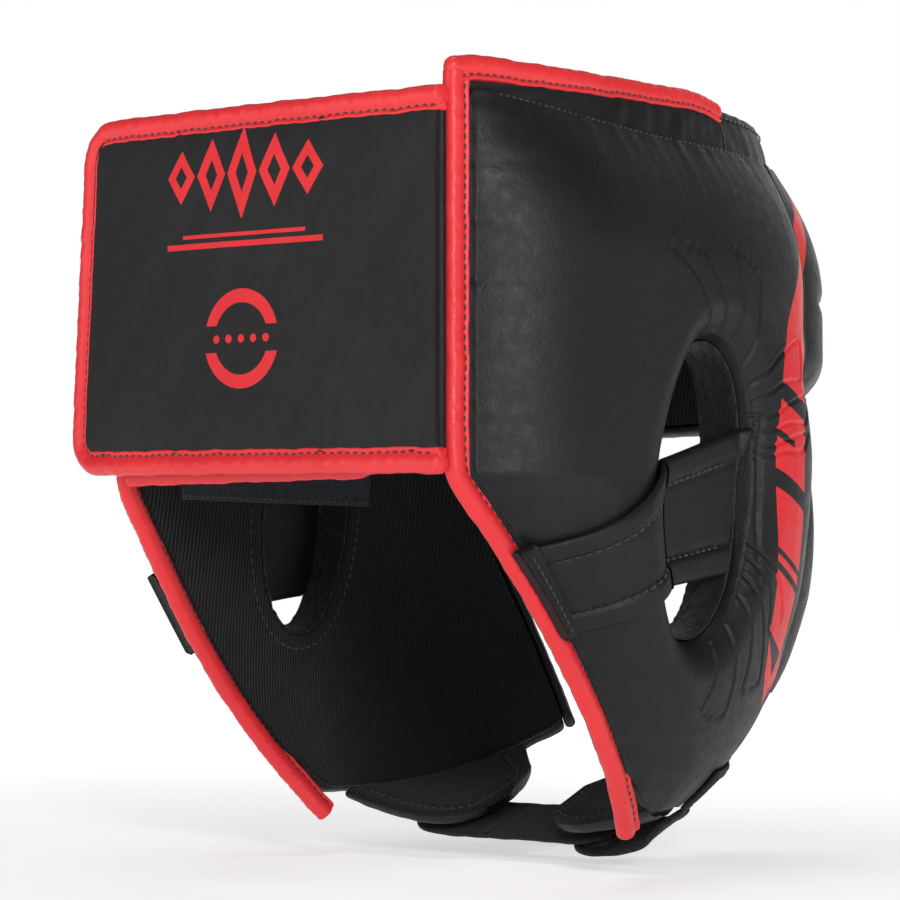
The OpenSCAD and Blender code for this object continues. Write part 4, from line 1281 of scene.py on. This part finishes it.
def plain_patch(name, at, x0, x1, z0, z1, w, thick, body, look, face=1):
    """Hook or loop tape sewn on a leaf: a thin pile with rounded corners and a stitched border."""
    x = np.linspace(x0, x1, 60)[None]
    z = np.linspace(z0, z1, 44)[:, None]
    x, z = np.broadcast_arrays(x, z)
    edge = np.minimum(np.minimum(x - x0, x1 - x), np.minimum(z - z0, z1 - z))
    pile = thick * (0.55 + 0.45 * shoulder(edge, 2.0))
    outer = at(x, z, w + face * pile)
    inner = at(x, z, np.full(x.shape, float(w)))
    patch = shell(name, outer, inner, np.stack([x, z], -1))
    fit(patch, body, look, [name])
    x0, x1, z0, z1 = x0 + 2.2, x1 - 2.2, z0 + 2.2, z1 - 2.2
    run_x = np.concatenate([np.linspace(x0, x1, 40), np.full(20, x1), np.linspace(x1, x0, 40), np.full(20, x0)])
    run_z = np.concatenate([np.full(40, z0), np.linspace(z0, z1, 20), np.full(40, z1), np.linspace(z1, z0, 20)])
    line = at(run_x, run_z, np.full(120, w + face * thick))
    up = face * (at(run_x, run_z, np.ones(120)) - at(run_x, run_z, np.zeros(120)))
    stitch_row(name + "_stitches", line, up, body, (look[0], BLACK_STITCHES[1]), pitch=3.4, thick=0.5)


def make_flap():
    leaf = FLAP_L, FLAP_H, FLAP_CORNER, LEAF_INSET, CLOSURE_Z
    sewn_leaf("flap_face", flap_at, *leaf, FLAP_T / 2 - 1.2, 0, 1.1, 121, FLAP_LEATHER, "flap",
              ["flap_cover", "flap_foam"])
    sewn_leaf("flap_lining", flap_at, *leaf, 0, -FLAP_T / 2 + 0.2, 0, 123, RIB_MESH, "flap", ["flap_lining"],
              90, 60)
    leaf_binding("flap_binding", flap_at, closure_out, FLAP_L, FLAP_H, FLAP_CORNER, CLOSURE_Z, FLAP_T + 0.4,
                 "flap", 125)
    plain_patch("flap_hook_patch", flap_at, 34, 112, CLOSURE_Z + 24, CLOSURE_Z + 84, -FLAP_T / 2 + 0.2,
                PATCH_T + 0.1, "flap", HOOK_TAPE, -1)


TONGUE_START = np.array([REAR_HALF_W - 2.6, REAR_DEPTH - 0.6])
TONGUE_TURN = -1.2
TONGUE_L = 108
TONGUE_H = 92
TONGUE_T = 3
TONGUE_CORNER = 12


def tongue_at(x, z, w):
    x, z, w = np.broadcast_arrays(*(np.asarray(k, float) for k in (x, z, w)))
    across, back = x * cosd(TONGUE_TURN), x * sind(TONGUE_TURN)
    return np.stack([TONGUE_START[0] - across, TONGUE_START[1] + back + w, z], -1)


def tongue_out(x):
    return np.broadcast_to([0.0, 1.0, 0.0], (*np.shape(x), 3))


def make_tongue():
    low = CLOSURE_Z - 0.4
    sewn_leaf("tongue_face", tongue_at, TONGUE_L, TONGUE_H, TONGUE_CORNER, LEAF_INSET, low, TONGUE_T / 2 - 0.4,
              -TONGUE_T / 2, 0.3, 131, PLAIN_LEATHER, "tongue", ["tongue_cover"], 90, 70)
    leaf_binding("tongue_binding", tongue_at, tongue_out, TONGUE_L, TONGUE_H, TONGUE_CORNER, low,
                 TONGUE_T + 0.4, "tongue", 133)
    plain_patch("tongue_loop_patch", tongue_at, 14, 92, CLOSURE_Z + 16, CLOSURE_Z + 78, TONGUE_T / 2 - 0.1,
                PATCH_T, "tongue", LOOP_TAPE)


def make_lining_tape():
    """The loop tape sewn along the left lining, level with the ear guard."""
    rows, cols = 20, 160
    a = np.broadcast_to(np.linspace(134, 70, cols)[None], (rows, cols))
    z = np.broadcast_to(np.linspace(-1.5, 12.5, rows)[:, None], (rows, cols))
    edge = np.minimum(z + 1.5, 12.5 - z)
    front = on_form(a, z, -1.1 - 0.5 * shoulder(edge, 1.5))
    back = on_form(a, z, -0.3)
    fit(shell("left_lining_tape", back, front, unrolled(a, z)), "shell", LOOP_TAPE)
    low = on_form(a[0], z[0] + 1.2, np.full(cols, -1.65))
    stitch_row("left_lining_tape_stitches", low, -outward(a[0], z[0]), "shell", TAPE_STITCHES, pitch=3.0,
               thick=0.5)


# ---- camera, light and floor ----


CAMERA_PLACE = (-0.6153, 0.7497, -0.035)
CAMERA_TURN, CAMERA_PITCH = 40, 2.97
CAMERA_LENS, CAMERA_SENSOR = 115.6, 36
LIGHTS = (("window", (-1.25, 0.95, 0.4), 0.4, 13), ("closure fill", (0.5, 1.7, 0.3), 1.2, 8),
          ("face fill", (0.3, -1.7, 0.5), 1.4, 6), ("cheek fill", (-1.5, -0.7, 0.2), 0.9, 1.5),
          ("top", (0.1, 0.1, 1.6), 1.1, 5.5))
FLOOR_GAP = 0.003
FLOOR_RADIUS = 8


def make_camera():
    place = Vector(CAMERA_PLACE)
    turn, pitch = np.radians(CAMERA_TURN), np.radians(CAMERA_PITCH)
    aim = Vector((np.sin(turn) * np.cos(pitch), -np.cos(turn) * np.cos(pitch), np.sin(pitch)))
    data = bpy.data.cameras.new("camera")
    data.lens, data.sensor_width = CAMERA_LENS, CAMERA_SENSOR
    camera = bpy.data.objects.new("camera", data)
    bpy.context.scene.collection.objects.link(camera)
    camera.location = place
    camera.rotation_mode = "QUATERNION"
    camera.rotation_quaternion = aim.to_track_quat("-Z", "Y")
    bpy.context.scene.camera = camera


def soft_light(name, place, size, power):
    data = bpy.data.lights.new(name, "AREA")
    data.shape, data.size, data.energy = "DISK", size, power
    lamp = bpy.data.objects.new(name, data)
    bpy.context.scene.collection.objects.link(lamp)
    lamp.location = place
    lamp.rotation_mode = "QUATERNION"
    lamp.rotation_quaternion = (-Vector(place)).to_track_quat("-Z", "Y")


def make_studio():
    for name, place, size, power in LIGHTS:
        soft_light(name, place, size, power)
    world = bpy.data.worlds.new("studio")
    bpy.context.scene.world = world
    world.use_nodes = True
    nodes, links = world.node_tree.nodes, world.node_tree.links
    nodes.clear()
    seen = nodes.new("ShaderNodeLightPath")
    shade = nodes.new("ShaderNodeMix")
    shade.data_type = "RGBA"
    shade.inputs[6].default_value = (0.12, 0.12, 0.12, 1)
    shade.inputs[7].default_value = (1, 1, 1, 1)
    sky = nodes.new("ShaderNodeBackground")
    out = nodes.new("ShaderNodeOutputWorld")
    links.new(seen.outputs["Is Camera Ray"], shade.inputs[0])
    links.new(shade.outputs[2], sky.inputs["Color"])
    links.new(sky.outputs[0], out.inputs["Surface"])
    low = cad_box[0].z - FLOOR_GAP
    bpy.ops.object.select_all(action="DESELECT")
    bpy.ops.mesh.primitive_circle_add(vertices=96, radius=FLOOR_RADIUS, fill_type="NGON", location=(0, 0, low))
    floor = bpy.context.object
    floor.name = "studio_floor"
    paper = Finish("pale paper", (0.8, 0.8, 0.8), 0.95, specular_ior_level=0.1)
    far = paper.node("ShaderNodeVectorMath", {"operation": "LENGTH"}, paper.place(), out=1)
    glow = paper.between(far, 0.2, 1.1, 0.5, 1.0)
    paper.set("Emission Color", paper.mix(glow, (0, 0, 0, 1), (1, 1, 1, 1)))
    paper.set("Emission Strength", 1.0)
    floor.data.materials.append(paper.material)
    bpy.context.scene.view_settings.view_transform = "Standard"


make_camera()
for name, side in (("right", -1), ("left", 1)):
    make_side_panel(name, side)
    make_ear_wall(name, side)
    make_rear_binding(name, side)
    make_crown(name, side)
    make_crown_binding(name, side)
    make_ear_strap(name, side)
    make_chin_pad(name, side)
make_forehead()
make_crown_margin()
make_face_welt()
make_flap()
make_tongue()
make_chin_closure()
make_lining_tape()
make_studio()
